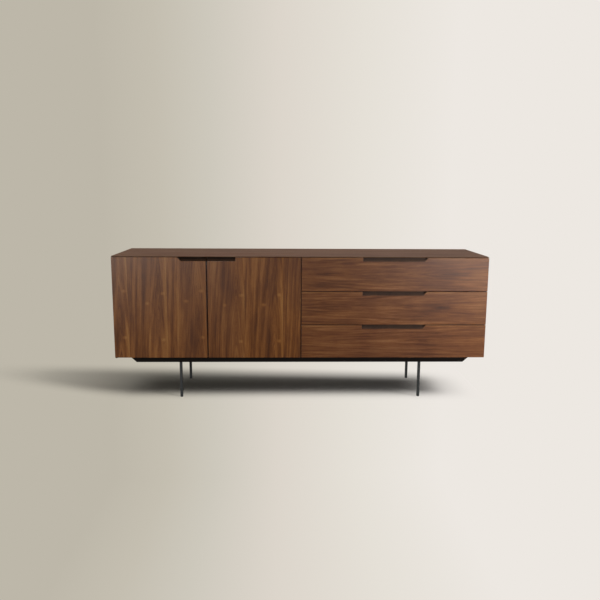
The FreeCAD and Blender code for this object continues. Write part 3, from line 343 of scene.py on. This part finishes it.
def veneer_place(tree, grain, leaf, first, heart):
    """A point's distance across from the heart line, along the grain and inward, its share of
    the leaf's width, and the leaf's number."""
    spot = add(tree, "TexCoord").node.outputs["Object"]
    turned = add(tree, "Mapping", {"Vector": spot, "Rotation": GRAIN[grain]})
    x, inward, z = add(tree, "SeparateXYZ", {0: turned}).node.outputs
    leaves = add(tree, "Math", {0: x, 1: 1 / leaf, 2: -first / leaf}, operation="MULTIPLY_ADD")
    number = add(tree, "Math", {0: leaves}, operation="FLOOR")
    share = add(tree, "Math", {0: leaves}, operation="FRACT")
    slip = add(tree, "TexWhiteNoise", {"W": number}, noise_dimensions="1D")
    along = add(tree, "Math", {0: slip, 1: SLIP, 2: z}, operation="MULTIPLY_ADD")
    across = add(tree, "Math", {0: share, 1: leaf, 2: -heart * leaf}, operation="MULTIPLY_ADD")
    return across, along, inward, share, number


print("leaves slip by up to", SLIP * 1000, "mm")

# %% Walnut figure
RING = 0.009        # one year's growth, in metres, about twice the real width so that it shows
TIP = 0.005         # half the width of an arch's rounded tip, in metres
STEEPER = 3.0       # how much steeper the blade meets the rings, a metre from the heart line


def walnut_figure(tree, across, along, number, taper, wander):
    """The distance through the log in metres, whose even steps are the rings that the blade cut."""
    # A slow wave, nine to a metre across and two along the grain, bends the heart line.
    stretched = add(tree, "Math", {0: along, 1: 0.22}, operation="MULTIPLY")
    slow = add(tree, "CombineXYZ", {0: across, 1: number, 2: stretched})
    wave = add(tree, "TexNoise", {"Vector": slow, "Scale": 9.0, "Detail": 4.0, "Roughness": 0.55})
    bent = add(tree, "Math", {0: wave, 1: wander, 2: across}, operation="MULTIPLY_ADD")
    bent = add(tree, "Math", {0: bent, 1: wander / 2}, operation="SUBTRACT")
    from_heart = add(tree, "VectorMath", {0: add(tree, "CombineXYZ", {0: bent, 1: TIP})},
                     operation="LENGTH").node.outputs["Value"]
    # Away from the heart line the blade meets the rings more steeply, so the lines crowd.
    steeper = add(tree, "Math", {0: from_heart, 1: STEEPER, 2: 1.0}, operation="MULTIPLY_ADD")
    cut = add(tree, "Math", {0: from_heart, 1: steeper}, operation="MULTIPLY")
    through = add(tree, "Math", {0: along, 1: taper, 2: cut}, operation="MULTIPLY_ADD")
    return slow, bent, through


print("rings in the 100 mm beside the heart line:", round(0.1 * (1 + 0.1 * STEEPER) / RING, 1))

# %% Walnut rings
UNEVEN = 2.6        # by how many rings good and poor years may shift a ring
SPELLS = 55.0       # spells of good and poor years in a metre of the log


def late_wood(tree, through):
    """The thin dark line at the end of each year's ring."""
    years = add(tree, "Math", {0: through, 1: 1 / RING}, operation="MULTIPLY")
    spells = add(tree, "Math", {0: through, 1: SPELLS}, operation="MULTIPLY")
    uneven = add(tree, "TexNoise", {"W": spells}, noise_dimensions="1D")
    years = add(tree, "Math", {0: uneven, 1: UNEVEN, 2: years}, operation="MULTIPLY_ADD")
    year = add(tree, "Math", {0: years}, operation="FRACT")
    late = add(tree, "MapRange", {"Value": year, "From Min": 0.35, "From Max": 0.95},
               interpolation_type="SMOOTHSTEP")
    ended = add(tree, "MapRange", {"Value": year, "From Min": 1.0, "From Max": 0.95})
    return add(tree, "Math", {0: late, 1: ended}, operation="MULTIPLY")


print("a spell of years is", round(1 / SPELLS / RING, 1), "rings long")

# %% Walnut eyes
TWIG_REACH = 0.018      # how far the pale wood round a twig's end reaches, in metres
TWIG_PALENESS = 0.26
TWIG_SQUATNESS = 1.3


def pale_eyes(tree, tone, bent, along, eyes):
    """A tone made paler round each of the eyes, which are places across and along a leaf."""
    for side, rise in eyes:
        sideways = add(tree, "Math", {0: bent, 1: side}, operation="SUBTRACT")
        upwards = add(tree, "Math", {0: along, 1: rise}, operation="SUBTRACT")
        upwards = add(tree, "Math", {0: upwards, 1: TWIG_SQUATNESS}, operation="MULTIPLY")
        away = add(tree, "VectorMath", {0: add(tree, "CombineXYZ", {0: sideways, 1: upwards})},
                   operation="LENGTH").node.outputs["Value"]
        pale = add(tree, "MapRange", {"Value": away, "From Min": 0.001, "From Max": TWIG_REACH,
                                      "To Min": TWIG_PALENESS, "To Max": 0.0},
                   interpolation_type="SMOOTHSTEP")
        tone = add(tree, "Math", {0: tone, 1: pale}, operation="ADD")
    return tone


print("an eye fades out", TWIG_REACH * 1000, "mm from its middle")

# %% Walnut pores
PORE = 0.0007       # a pore's width, in metres
PORE_LENGTH = 0.012


def grain_pores(tree, across, along, inward):
    """Short dark dashes along the grain."""
    dash = add(tree, "CombineXYZ", {
        0: add(tree, "Math", {0: across, 1: PORE}, operation="DIVIDE"),
        1: add(tree, "Math", {0: inward, 1: PORE}, operation="DIVIDE"),
        2: add(tree, "Math", {0: along, 1: PORE_LENGTH}, operation="DIVIDE")})
    pores = add(tree, "TexNoise", {"Vector": dash, "Scale": 1.0, "Detail": 1.0})
    return add(tree, "MapRange", {"Value": pores, "From Min": 0.62, "From Max": 0.70})


print("a pore is", PORE * 1000, "by", PORE_LENGTH * 1000, "mm")

# %% Painted shade in the gaps
GAP_SHADE_REACH = 0.0045        # from the middle of the gap, in metres


def painted_gap_shade(tree, colour, seams):
    """A colour darkened with painted shade at each of the seams: an axis, a place on it and a depth
    of painted shade.
    """
    spot = add(tree, "SeparateXYZ", {0: add(tree, "TexCoord").node.outputs["Object"]}).node.outputs
    for axis, place, depth in seams:
        gap = add(tree, "Math", {0: spot[axis], 1: place}, operation="SUBTRACT")
        gap = add(tree, "Math", {0: gap}, operation="ABSOLUTE")
        gap_shade = add(tree, "MapRange", {"Value": gap, "From Min": GAP_SHADE_REACH * 0.7,
                                       "From Max": GAP_SHADE_REACH, "To Min": depth, "To Max": 0.0})
        # Painted shade: close to each gap the veneer is mixed towards dark brown.
        colour = add(tree, "MixRGB", {0: gap_shade, 1: colour, 2: "#260f05"})
    return colour


def gap_between(one, other, axis):
    """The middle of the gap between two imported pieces, the first of them lower on the axis."""
    return (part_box(one)[1][axis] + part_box(other)[0][axis]) / 2


door_gap = gap_between("door_left", "door_right", 0)
drawers_start = gap_between("door_right", "drawer_lower_front", 0)
drawer_gaps = [gap_between("drawer_lower_front", "drawer_middle_front", 2),
               gap_between("drawer_middle_front", "drawer_upper_front", 2)]
print("gaps at", round(door_gap, 5), round(drawers_start, 5), [round(z, 5) for z in drawer_gaps])

# %% Walnut
PLUM, PORE_DARK = "#5d3723", "#2a170e"


def walnut(name, grain, leaf=0.206, first=0.0, heart=0.78, taper=0.10, wander=0.03, lines=0.14,
           streaks=46.0, eyes=(), seams=(), gloss=0.35,
           tones=("#3c1a05", "#5f330c", "#834e1d", "#a47036")):
    """Veneer in leaves of a width in metres, the first of them starting at a place in metres.
    The arches' tips are on the heart line, which leans by taper and wanders in metres. lines is
    how dark the rings are, streaks how many come to a metre, and gloss the roughness."""
    material, tree = start_material(name)
    across, along, inward, share, number = veneer_place(tree, grain, leaf, first, heart)
    slow, bent, through = walnut_figure(tree, across, along, number, taper, wander)
    line = late_wood(tree, through)

    # Streaks follow the same rings, drawn out twenty times along the grain, so they run along
    # the arches and not through them.
    drawn_out = add(tree, "Math", {0: along, 1: 0.05}, operation="MULTIPLY")
    flow = add(tree, "CombineXYZ", {0: through, 1: number, 2: drawn_out})
    streak = add(tree, "TexNoise", {"Vector": flow, "Scale": streaks, "Detail": 6.0,
                                    "Roughness": 0.62})
    # Fibres are drawn coarser than real ones, which wouldn't show from where the camera stands.
    long_way = add(tree, "Math", {0: along, 1: 0.012}, operation="MULTIPLY")
    fibres = add(tree, "CombineXYZ", {0: across, 1: inward, 2: long_way})
    fibre = add(tree, "TexNoise", {"Vector": fibres, "Scale": 420.0, "Detail": 4.0,
                                   "Roughness": 0.6})
    cloud = add(tree, "TexNoise", {"Vector": slow, "Scale": 16.0, "Detail": 4.0,
                                   "Roughness": 0.65})

    # Each pattern moves the tone by its own weight, and the subtraction brings their sum back
    # to the middle of the ramp. A leaf's last eighth is a little paler.
    tone = add(tree, "MapRange", {"Value": share, "From Min": 0.88, "From Max": 1.0,
                                  "To Max": 0.22})
    tone = pale_eyes(tree, tone, bent, along, eyes)
    for pattern, weight in ((line, -lines), (streak, 1.15), (cloud, 0.75), (fibre, 0.40)):
        tone = add(tree, "Math", {0: pattern, 1: weight, 2: tone}, operation="MULTIPLY_ADD")
    tone = add(tree, "Math", {0: tone, 1: 0.59}, operation="SUBTRACT")
    brown = add(tree, "ValToRGB", {"Fac": tone}, stops=tuple(zip((0.12, 0.38, 0.60, 0.92), tones)))
    drift = add(tree, "TexNoise", {"Vector": slow, "Scale": 5.0, "Detail": 1.0})
    drift = add(tree, "MapRange", {"Value": drift, "From Min": 0.45, "From Max": 0.75,
                                   "To Max": 0.28})
    brown = add(tree, "MixRGB", {0: drift, 1: brown, 2: PLUM})
    pores = grain_pores(tree, across, along, inward)
    shown = add(tree, "Math", {0: pores, 1: 0.45}, operation="MULTIPLY")
    # The gaps between the fronts get a band of painted shade.
    colour = painted_gap_shade(tree, add(tree, "MixRGB", {0: shown, 1: brown, 2: PORE_DARK}), seams)

    satin = add(tree, "MapRange", {"Value": streak, "To Min": gloss - 0.06, "To Max": gloss + 0.08})
    satin = add(tree, "Math", {0: pores, 1: 0.15, 2: satin}, operation="MULTIPLY_ADD")
    relief = add(tree, "Math", {0: pores, 1: -1.0}, operation="MULTIPLY")
    relief = add(tree, "Math", {0: fibre, 1: 0.3, 2: relief}, operation="MULTIPLY_ADD")
    bump = add(tree, "Bump", {"Height": relief, "Strength": 0.35, "Distance": 0.0001})
    shader = add(tree, "BsdfPrincipled", {"Base Color": colour, "Roughness": satin,
                                          "Normal": bump, "IOR": 1.45, "Specular IOR Level": 0.10})
    add(tree, "OutputMaterial", {"Surface": shader})
    return material


# The door gap and the edge beside the drawers get painted shade.
door_veneer = walnut("walnut_doors_upright", "upright", first=-0.92, streaks=36.0, lines=0.12,
                     eyes=((0.024, 0.605), (-0.058, 0.551), (0.024, 0.353)),
                     seams=((0, door_gap, 0.8), (0, drawers_start, 0.75)))
print("the doors' walnut:", len(door_veneer.node_tree.nodes), "nodes")

# %% Walnut for the other boards
# The gaps between the drawers get painted shade too.
drawer_veneer = walnut("walnut_drawers_lengthwise", "lengthwise", leaf=0.182, first=0.235,
                       heart=0.52, taper=0.035, wander=0.035, lines=0.12, streaks=75.0,
                       seams=((0, drawers_start, 0.6), *((2, z, 0.3) for z in drawer_gaps)),
                       tones=("#381805", "#592f0f", "#7a4820", "#9a683b"))
# The top board is sanded duller, and its tones are greyer: a painted reflection of the pale
# surroundings, seen at a grazing angle.
top_veneer_painted_reflection = walnut("walnut_top_lengthwise_painted_reflection", "lengthwise on a top", leaf=0.233, first=-0.233,
                    heart=0.45, taper=0.04, gloss=0.62, lines=0.10,
                    tones=("#3b281c", "#50382a", "#614637", "#745a46"))
side_veneer = walnut("walnut_sides_upright", "upright on a side", leaf=0.233, first=-0.233)
inner_veneer = walnut("walnut_inside_lengthwise", "lengthwise on a top", leaf=0.233, first=-0.233)
back_veneer = walnut("walnut_back_lengthwise", "lengthwise", leaf=0.19, first=0.234)
print("the drawers' walnut:", len(drawer_veneer.node_tree.nodes), "nodes")

# %% Veneered boards
def finish_nodes(finishes):
    """Puts a finish on each named piece's own material slots, and returns how many it did."""
    for material, names in finishes:
        for name in names:
            for slot in nodes[name].material_slots:
                slot.material = material
    return sum(len(names) for _, names in finishes)


print("veneered pieces:", finish_nodes((
    (door_veneer, ["door_left", "door_right"]),
    (drawer_veneer, ["drawer_lower_front", "drawer_middle_front", "drawer_upper_front"]),
    (top_veneer_painted_reflection, ["top_face"]),
    (side_veneer, ["side_left", "side_right", "partition"]),
    (inner_veneer, ["top_panel", "bottom_panel", "shelf"]),
    (back_veneer, ["back_panel"]))))

# %% [markdown]
# ## The drawer boxes' plywood
# The boxes are birch plywood, thin sheets glued with their grain crossed. A face is pale and
# quiet, and an edge shows the sheets as stripes. A Wave texture could draw the stripes, but
# the place through the thickness does it alone: on a face it is the same everywhere, and on
# an edge it runs through all the sheets, so one material suits both.

# %% Birch plywood
SHEET = 0.0014      # one sheet's thickness, in metres
FIBRES, FIBRES_ALONG = 260.0, 7.0       # in a metre across the grain and along it


def birch_plywood(name, through, along):
    """Plywood whose sheets are stacked along one axis and whose face grain runs along another."""
    material, tree = start_material(name)
    spot = add(tree, "TexCoord").node.outputs["Object"]
    place = add(tree, "SeparateXYZ", {0: spot}).node.outputs
    sheets = add(tree, "Math", {0: place[through], 1: 1 / SHEET}, operation="MULTIPLY")
    stripe = add(tree, "Math", {0: sheets, 1: 1.0}, operation="PINGPONG")
    glue = add(tree, "MapRange", {"Value": stripe, "From Min": 0.0, "From Max": 0.16})
    end_grain = add(tree, "MapRange", {"Value": stripe, "From Min": 0.35, "From Max": 0.75,
                                       "To Max": 0.45})
    drawn = [FIBRES_ALONG if axis == along else FIBRES for axis in range(3)]
    drawn = add(tree, "VectorMath", {0: spot, 1: drawn}, operation="MULTIPLY")
    fibre = add(tree, "TexNoise", {"Vector": drawn, "Scale": 1.0, "Detail": 5.0, "Roughness": 0.6})
    shimmer = add(tree, "TexNoise", {"Vector": spot, "Scale": 14.0, "Detail": 2.0})
    mixed = add(tree, "Math", {0: shimmer, 1: 0.5, 2: fibre}, operation="MULTIPLY_ADD")
    pale = add(tree, "ValToRGB", {"Fac": mixed}, stops=(
        (0.45, "#c4a273"), (0.72, "#d9bb8e"), (0.95, "#e6cda4")))
    cut = add(tree, "MixRGB", {0: end_grain, 1: pale, 2: "#b08a5c"})
    colour = add(tree, "MixRGB", {0: glue, 1: "#8f6c45", 2: cut})
    bump = add(tree, "Bump", {"Height": fibre, "Strength": 0.25, "Distance": 0.0001})
    satin = add(tree, "MapRange", {"Value": fibre, "To Min": 0.42, "To Max": 0.58})
    shader = add(tree, "BsdfPrincipled", {"Base Color": colour, "Roughness": satin,
                                          "Normal": bump, "IOR": 1.45})
    add(tree, "OutputMaterial", {"Surface": shader})
    return material


ply_sides = birch_plywood("birch_plywood_sides", 0, 1)
ply_ends = birch_plywood("birch_plywood_ends", 1, 0)
ply_bottoms = birch_plywood("birch_plywood_bottoms", 2, 0)
print("plywood sheets of", SHEET * 1000, "mm")

# %% [markdown]
# ## Painted, plated and moulded parts
# Each of these is one quiet colour with a fine texture of its own: powder coat has the
# skin of an orange, brushed metal has lines along the strip, zinc shows its crystals, and a
# moulded part is dull from the mould. They differ only in colour, grain size, direction and
# gloss, so one function makes them all. The grain sizes are real ones in millimetres, and a
# slow second noise stands for handling marks.

# %% Fine-grained finishes
def fine_grain(name, dark, light, grain, run=(1, 1, 1), metal=0.0, rough=(0.4, 0.5), depth=0.02,
               shine=0.5, pattern="TexNoise"):
    """A finish with a grain in mm, stretched along each axis by run, and a relief depth in mm."""
    material, tree = start_material(name)
    spot = add(tree, "TexCoord").node.outputs["Object"]
    per_metre = [1000 / (grain * stretch) for stretch in run]
    drawn = add(tree, "VectorMath", {0: spot, 1: per_metre}, operation="MULTIPLY")
    fine = add(tree, pattern, {"Vector": drawn, "Scale": 1.0})
    handled = add(tree, "TexNoise", {"Vector": spot, "Scale": 22.0, "Detail": 4.0,
                                     "Roughness": 0.6})
    mixed = add(tree, "Math", {0: fine, 1: 0.6}, operation="MULTIPLY")
    mixed = add(tree, "Math", {0: handled, 1: 0.6, 2: mixed}, operation="MULTIPLY_ADD")
    colour = add(tree, "ValToRGB", {"Fac": mixed}, stops=((0.35, dark), (0.85, light)))
    gloss = add(tree, "MapRange", {"Value": mixed, "From Min": 0.3, "From Max": 0.9,
                                   "To Min": rough[0], "To Max": rough[1]})
    bump = add(tree, "Bump", {"Height": fine, "Strength": 0.5, "Distance": depth / 1000})
    shader = add(tree, "BsdfPrincipled", {"Base Color": colour, "Metallic": metal,
                                          "Roughness": gloss, "Normal": bump,
                                          "Specular IOR Level": shine})
    add(tree, "OutputMaterial", {"Surface": shader})
    return material


# Powder coat on the steel bars, with an orange peel of about 1.5 mm.
powder_coat = fine_grain("black_powder_coat", "#151718", "#202323", 1.5, rough=(0.50, 0.62),
                         depth=0.05, shine=0.12)
# Matt spray lacquer on the plinth: a finer and flatter skin.
plinth_lacquer = fine_grain("black_spray_lacquer", "#0a0503", "#140b07", 0.9,
                            rough=(0.6, 0.7), shine=0.05)
# The pulls' strip is brushed along its length, then bronzed, and a clear lacquer keeps it.
bronzed = fine_grain("bronzed_brushed_steel", "#22150d", "#3f2b1d", 0.25, run=(60, 1, 1),
                     metal=0.10, rough=(0.45, 0.60), shine=0.05)
# Bright zinc on the runners and screws, with crystals of about 3 mm.
zinc = fine_grain("zinc_plated_steel", "#8f9496", "#c2c6c8", 3.0, metal=1.0,
                  rough=(0.25, 0.45), depth=0.01, pattern="TexVoronoi")
# Brass bushes, turned, so that fine lines run round them.
brass = fine_grain("turned_brass", "#a9853f", "#d2b068", 0.2, run=(1, 1, 8), metal=1.0,
                   rough=(0.2, 0.35))
# Glides and catches of black plastic, dull from the mould.
plastic = fine_grain("moulded_black_plastic", "#121315", "#1f2123", 0.5, rough=(0.5, 0.65),
                     depth=0.03, shine=0.12)
# Black oxide leaves a screw's steel dark and slightly oily.
black_oxide = fine_grain("black_oxide_screws", "#151516", "#2b2a29", 0.4, metal=0.6,
                         rough=(0.35, 0.55))
# Turned beech, whose rays are short darker flecks along the grain.
beech = fine_grain("beech_pegs", "#a97e52", "#cfa678", 1.2, run=(4, 1, 1), rough=(0.5, 0.62))
print("fine finishes:", powder_coat.name, bronzed.name, zinc.name)

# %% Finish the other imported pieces
drawers = ("drawer_lower", "drawer_middle", "drawer_upper")
legs = ["leg_" + place for place in ("front_left", "front_right", "back_left", "back_right")]
print("other pieces:", finish_nodes((
    (powder_coat, legs + ["pivot_brackets"]),
    (plinth_lacquer, ["base_plate"]),
    (bronzed, [front + "_pull" for front in ("door_left", "door_right") + drawers]),
    (zinc, ["pivot_pins", "shelf_pins", "back_screws", "runner_outer_members", "runner_screws",
            "door_left_strike", "door_right_strike"]
     + [drawer + "_runner_" + member for drawer in drawers for member in ("inner", "middle")]),
    (brass, ["door_left_bushes", "door_right_bushes"]),
    (plastic, ["leg_glides", "door_catches"]),
    (black_oxide, ["base_screws", "bracket_screws"]),
    (beech, ["corner_splines", "partition_dowels"]),
    (ply_sides, [drawer + "_side_" + side for drawer in drawers for side in ("left", "right")]),
    (ply_ends, [drawer + "_box_" + end for drawer in drawers for end in ("front", "back")]),
    (ply_bottoms, [drawer + "_bottom" for drawer in drawers]))))

# %% [markdown]
# ## Eased edges
# A cabinetmaker runs fine paper along every veneered edge, which leaves a round of about
# half a millimetre that catches the light. The imported meshes have sharp edges and loose
# triangles, so a Weld modifier joins the triangles first, and a Bevel modifier then rounds
# the edges that turn by more than 40 degrees. The mesh itself stays as it was imported.

# %% Ease the visible boards
EASED = 0.0005      # the round's width, in metres


def ease(name):
    """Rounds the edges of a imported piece."""
    nodes[name].modifiers.new("joined", "WELD").merge_threshold = 0.00002
    rounding = nodes[name].modifiers.new("eased", "BEVEL")
    rounding.width, rounding.segments, rounding.limit_method = EASED, 2, "ANGLE"
    rounding.angle_limit = math.radians(40)
    return name


boards = ["door_left", "door_right", "top_face", "base_plate"]
boards += [drawer + "_front" for drawer in drawers]
print("eased:", [ease(name) for name in boards])

# %% [markdown]
# ## Screw heads
# The drawer fronts are screwed on from inside their boxes with pan heads, and two low heads
# hold each pull in its notch. Both are turned shapes with a six-lobed recess: a disc is
# extruded, its rim is bevelled round, and its top is inset, pushed into lobes and sunk. The
# same head is stamped at every place, and turned a little each time, as real screws are.

# %% A low disc
def low_disc(radius, height, rounding):
    """A bmesh of a disc that stands on the origin, its rim rounded by a share of its height."""
    disc = bmesh.new()
    bmesh.ops.create_circle(disc, cap_ends=True, segments=24, radius=radius)
    raised = bmesh.ops.extrude_face_region(disc, geom=disc.faces[:], use_keep_orig=True)
    bmesh.ops.translate(disc, verts=made_verts(raised), vec=(0, 0, height))
    rim = [e for e in disc.edges if all(v.co.z > height * 0.99 for v in e.verts)]
    bmesh.ops.bevel(disc, geom=rim, offset=height * rounding, offset_type="OFFSET",
                    affect="EDGES", segments=4, profile=0.5, material=-1)
    bmesh.ops.recalc_face_normals(disc, faces=disc.faces)
    return disc


print("a disc has", len(low_disc(0.003, 0.001, 0.5).faces), "faces")

# %% One screw head
RIM_ROUND, RECESS_DEPTH = 0.7, 0.6      # shares of the head's height
RECESS_INSET = 0.42                     # share of its flat top's radius
LOBES, LOBE_REACH = 6, 0.16


def finish_head(radius, height):
    """A bmesh of one turned head, standing on the origin and looking up."""
    head = low_disc(radius, height, RIM_ROUND)
    crown = max(head.faces, key=lambda face: face.calc_center_median().z)
    bmesh.ops.inset_individual(head, faces=[crown],
                               thickness=(radius - height * RIM_ROUND) * RECESS_INSET)
    for vert in crown.verts:
        vert.co.xy *= 1 + LOBE_REACH * math.cos(LOBES * math.atan2(vert.co.y, vert.co.x))
    sunk = bmesh.ops.extrude_discrete_faces(head, faces=[crown])["faces"]
    bmesh.ops.translate(head, verts=sunk[0].verts[:], vec=(0, 0, -height * RECESS_DEPTH))
    bmesh.ops.recalc_face_normals(head, faces=head.faces)
    return head


# A pan head is 9 mm wide and 2.4 mm high, a low head 6 mm and 1 mm.
pan_head = finish_head(0.0045, 0.0024)
low_head = finish_head(0.0030, 0.0010)
print("a screw head has", len(pan_head.faces), "faces")

# %% Stamp a shape at many places
def stamped(model, places):
    """A bmesh with a copy of a small bmesh at every matrix of places."""
    shape = bmesh.new()
    for place in places:
        copy = bpy.data.meshes.new("copy")
        model.to_mesh(copy)
        copy.transform(place)
        shape.from_mesh(copy)
        bpy.data.meshes.remove(copy)
    return shape


def placed(x, y, z, facing, turn=0.0):
    """The matrix that stands a shape on a place, its top towards facing, turned about itself."""
    return (Matrix.Translation((x, y, z))
            @ Vector(facing).to_track_quat("Z", "Y").to_matrix().to_4x4()
            @ Matrix.Rotation(turn, 4, "Z"))


two = stamped(low_head, [placed(0, 0, 0, (0, 0, 1)), placed(0, 0, 0.1, (0, 1, 0))])
print("stamped at two places it has", len(two.faces), "faces")

# %% Add a finished piece
def finished_piece(name, shape, material, body, smooth=False):
    """Makes an object of a bmesh, rides it on a body and gives it a finish."""
    mesh = bpy.data.meshes.new(name)
    shape.to_mesh(mesh)
    shape.free()
    if smooth:
        mesh.shade_smooth()
    piece = bpy.data.objects.new(name, mesh)
    bpy.context.collection.objects.link(piece)
    mesh.materials.append(material)
    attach(piece, body)


def span(node, axis, *shares):
    """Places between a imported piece's two ends along an axis, as shares of its length."""
    low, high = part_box(node)
    return [low[axis] + share * (high[axis] - low[axis]) for share in shares]


heights = span("drawer_upper_box_front", 2, 0.30, 0.80)
print("the upper drawer's screws are", [round(z, 3) for z in heights], "m up")

# %% Screws of the fronts and pulls
for drawer in drawers:
    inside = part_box(drawer + "_box_front")[1][1]
    heads = stamped(pan_head, [placed(x, inside, z, (0, 1, 0), x * 9 + z * 40)
                               for x in span(drawer + "_box_front", 0, 0.14, 0.86)
                               for z in span(drawer + "_box_front", 2, 0.30, 0.80)])
    finished_piece(drawer + "_front_screws", heads, zinc, drawer)

STRIP = 0.002       # the thickness of the pulls' steel, in metres
screwed = [(drawer, 0.18, 0.82) for drawer in drawers]
screwed += [("door_left", 0.3, 0.85), ("door_right", 0.15, 0.7)]
for front, first, last in screwed:
    middle, = span(front + "_pull", 1, 0.5)
    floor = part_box(front + "_pull")[0][2] + STRIP
    heads = stamped(low_head, [placed(x, middle, floor, (0, 0, 1), x * 11)
                               for x in span(front + "_pull", 0, first, last)])
    finished_piece(front + "_pull_screws", heads, black_oxide, front)
print("screw heads:", 4 * len(drawers), "in the boxes,", 2 * len(screwed), "in the pulls")

# %% [markdown]
# ## Bumper dots and magnets
# Soft dots on the backs of the doors and fronts close the 2 mm gap to the case and keep
# them quiet: a dot is the same disc, its rim bevelled until it is a low dome. In the face of
# each catch two round magnets stand a little proud, where the door's strike meets them.

# %% Magnets in the catches
CATCH, MAGNETS_APART, MAGNET_HEIGHT = 0.040, 0.020, 0.006
low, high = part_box("door_catches")
magnets = [placed(middle + side * MAGNETS_APART / 2, low[1], low[2] + MAGNET_HEIGHT, (0, -1, 0))
           for middle in (low[0] + CATCH / 2, high[0] - CATCH / 2) for side in (-1, 1)]
# Their faces are ground, which leaves fine lines all one way and a dull grey.
ground_steel = fine_grain("ground_magnet_steel", "#4a4c4e", "#6a6c6e", 0.3, run=(8, 1, 1),
                          metal=0.8, rough=(0.45, 0.6))
finished_piece("catch_magnets", stamped(low_disc(0.004, 0.0002, 0.5), magnets), ground_steel,
               "case")
print("magnets:", len(magnets))

# %% Dots on the backs of the drawer fronts
# A dot is 7 mm wide and 1.8 mm high, of a soft clear plastic that looks pale and milky.
dot = low_disc(0.0035, 0.0018, 0.8)
soft_plastic = fine_grain("soft_clear_plastic", "#b9b6ad", "#d2cfc6", 0.8, rough=(0.3, 0.4),
                          depth=0.01)
# Two meet the partition's edge on the left, and two the side's edge on the right.
ON_PARTITION, ON_SIDE = 0.0045, 0.010
for drawer in drawers:
    low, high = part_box(drawer + "_front")
    places = [placed(x, high[1], z, (0, 1, 0)) for x in (low[0] + ON_PARTITION, high[0] - ON_SIDE)
              for z in span(drawer + "_front", 2, 0.12, 0.80)]
    finished_piece(drawer + "_dots", stamped(dot, places), soft_plastic, drawer,
                   smooth=True)
print("bumper dots:", len(places), "on each drawer")

# %% Dots on the backs of the doors
# One is at the foot of the free edge, and one at the head of the door, past the pull's notch.
BY_THE_EDGE, PAST_THE_PULL, ABOVE_FOOT, BELOW_HEAD = 0.012, 0.185, 0.0085, 0.0065
for door, free, away in (("door_left", 1, -1), ("door_right", 0, 1)):
    low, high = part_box(door)
    edge = (low, high)[free][0]
    places = [placed(edge + away * BY_THE_EDGE, high[1], low[2] + ABOVE_FOOT, (0, 1, 0)),
              placed(edge + away * PAST_THE_PULL, high[1], high[2] - BELOW_HEAD, (0, 1, 0))]
    finished_piece(door + "_dots", stamped(dot, places), soft_plastic, door,
                   smooth=True)
print("bumper dots:", len(places), "on each door")

# %% [markdown]
# ## Weld beads
# Where each bar meets its plate a weld bead runs round it. A Boolean could not make its
# hollow side, so a square loop of edges is extruded in steps along a quarter circle, from
# the plate in to the bar.

# %% Weld beads
BAR, BEAD, STEPS = 0.014, 0.003, 5
TUCK = 0.0001       # how far the bead's lower rim goes into the bar, so that no slit shows
for leg in legs:
    low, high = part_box(leg)
    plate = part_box("base_plate")[0][2]
    centre = ((low[0] + high[0]) / 2, (low[1] + high[1]) / 2, plate)
    bead = bmesh.new()
    bmesh.ops.create_grid(bead, x_segments=1, y_segments=1, size=BAR / 2 + BEAD)
    loop = bead.edges[:]
    for step in range(1, STEPS + 1):
        turn = math.pi / 2 * step / STEPS
        half = BAR / 2 + BEAD * (1 - math.sin(turn)) - (TUCK if step == STEPS else 0)
        made = bmesh.ops.extrude_edge_only(bead, edges=loop)["geom"]
        loop = [e for e in made if isinstance(e, bmesh.types.BMEdge)]
        ring = list({v for e in loop for v in e.verts})
        scale = half / max(abs(v.co.x) for v in ring)
        bmesh.ops.scale(bead, verts=ring, vec=(scale, scale, 1))
        for vert in ring:
            vert.co.z = -BEAD * (1 - math.cos(turn))
    bmesh.ops.holes_fill(bead, edges=loop, sides=4)
    bmesh.ops.translate(bead, verts=bead.verts, vec=centre)
    bmesh.ops.recalc_face_normals(bead, faces=bead.faces)
    finished_piece(leg + "_bead", bead, powder_coat, "case")
print("weld beads", BEAD * 1000, "mm round", BAR * 1000, "mm bars")
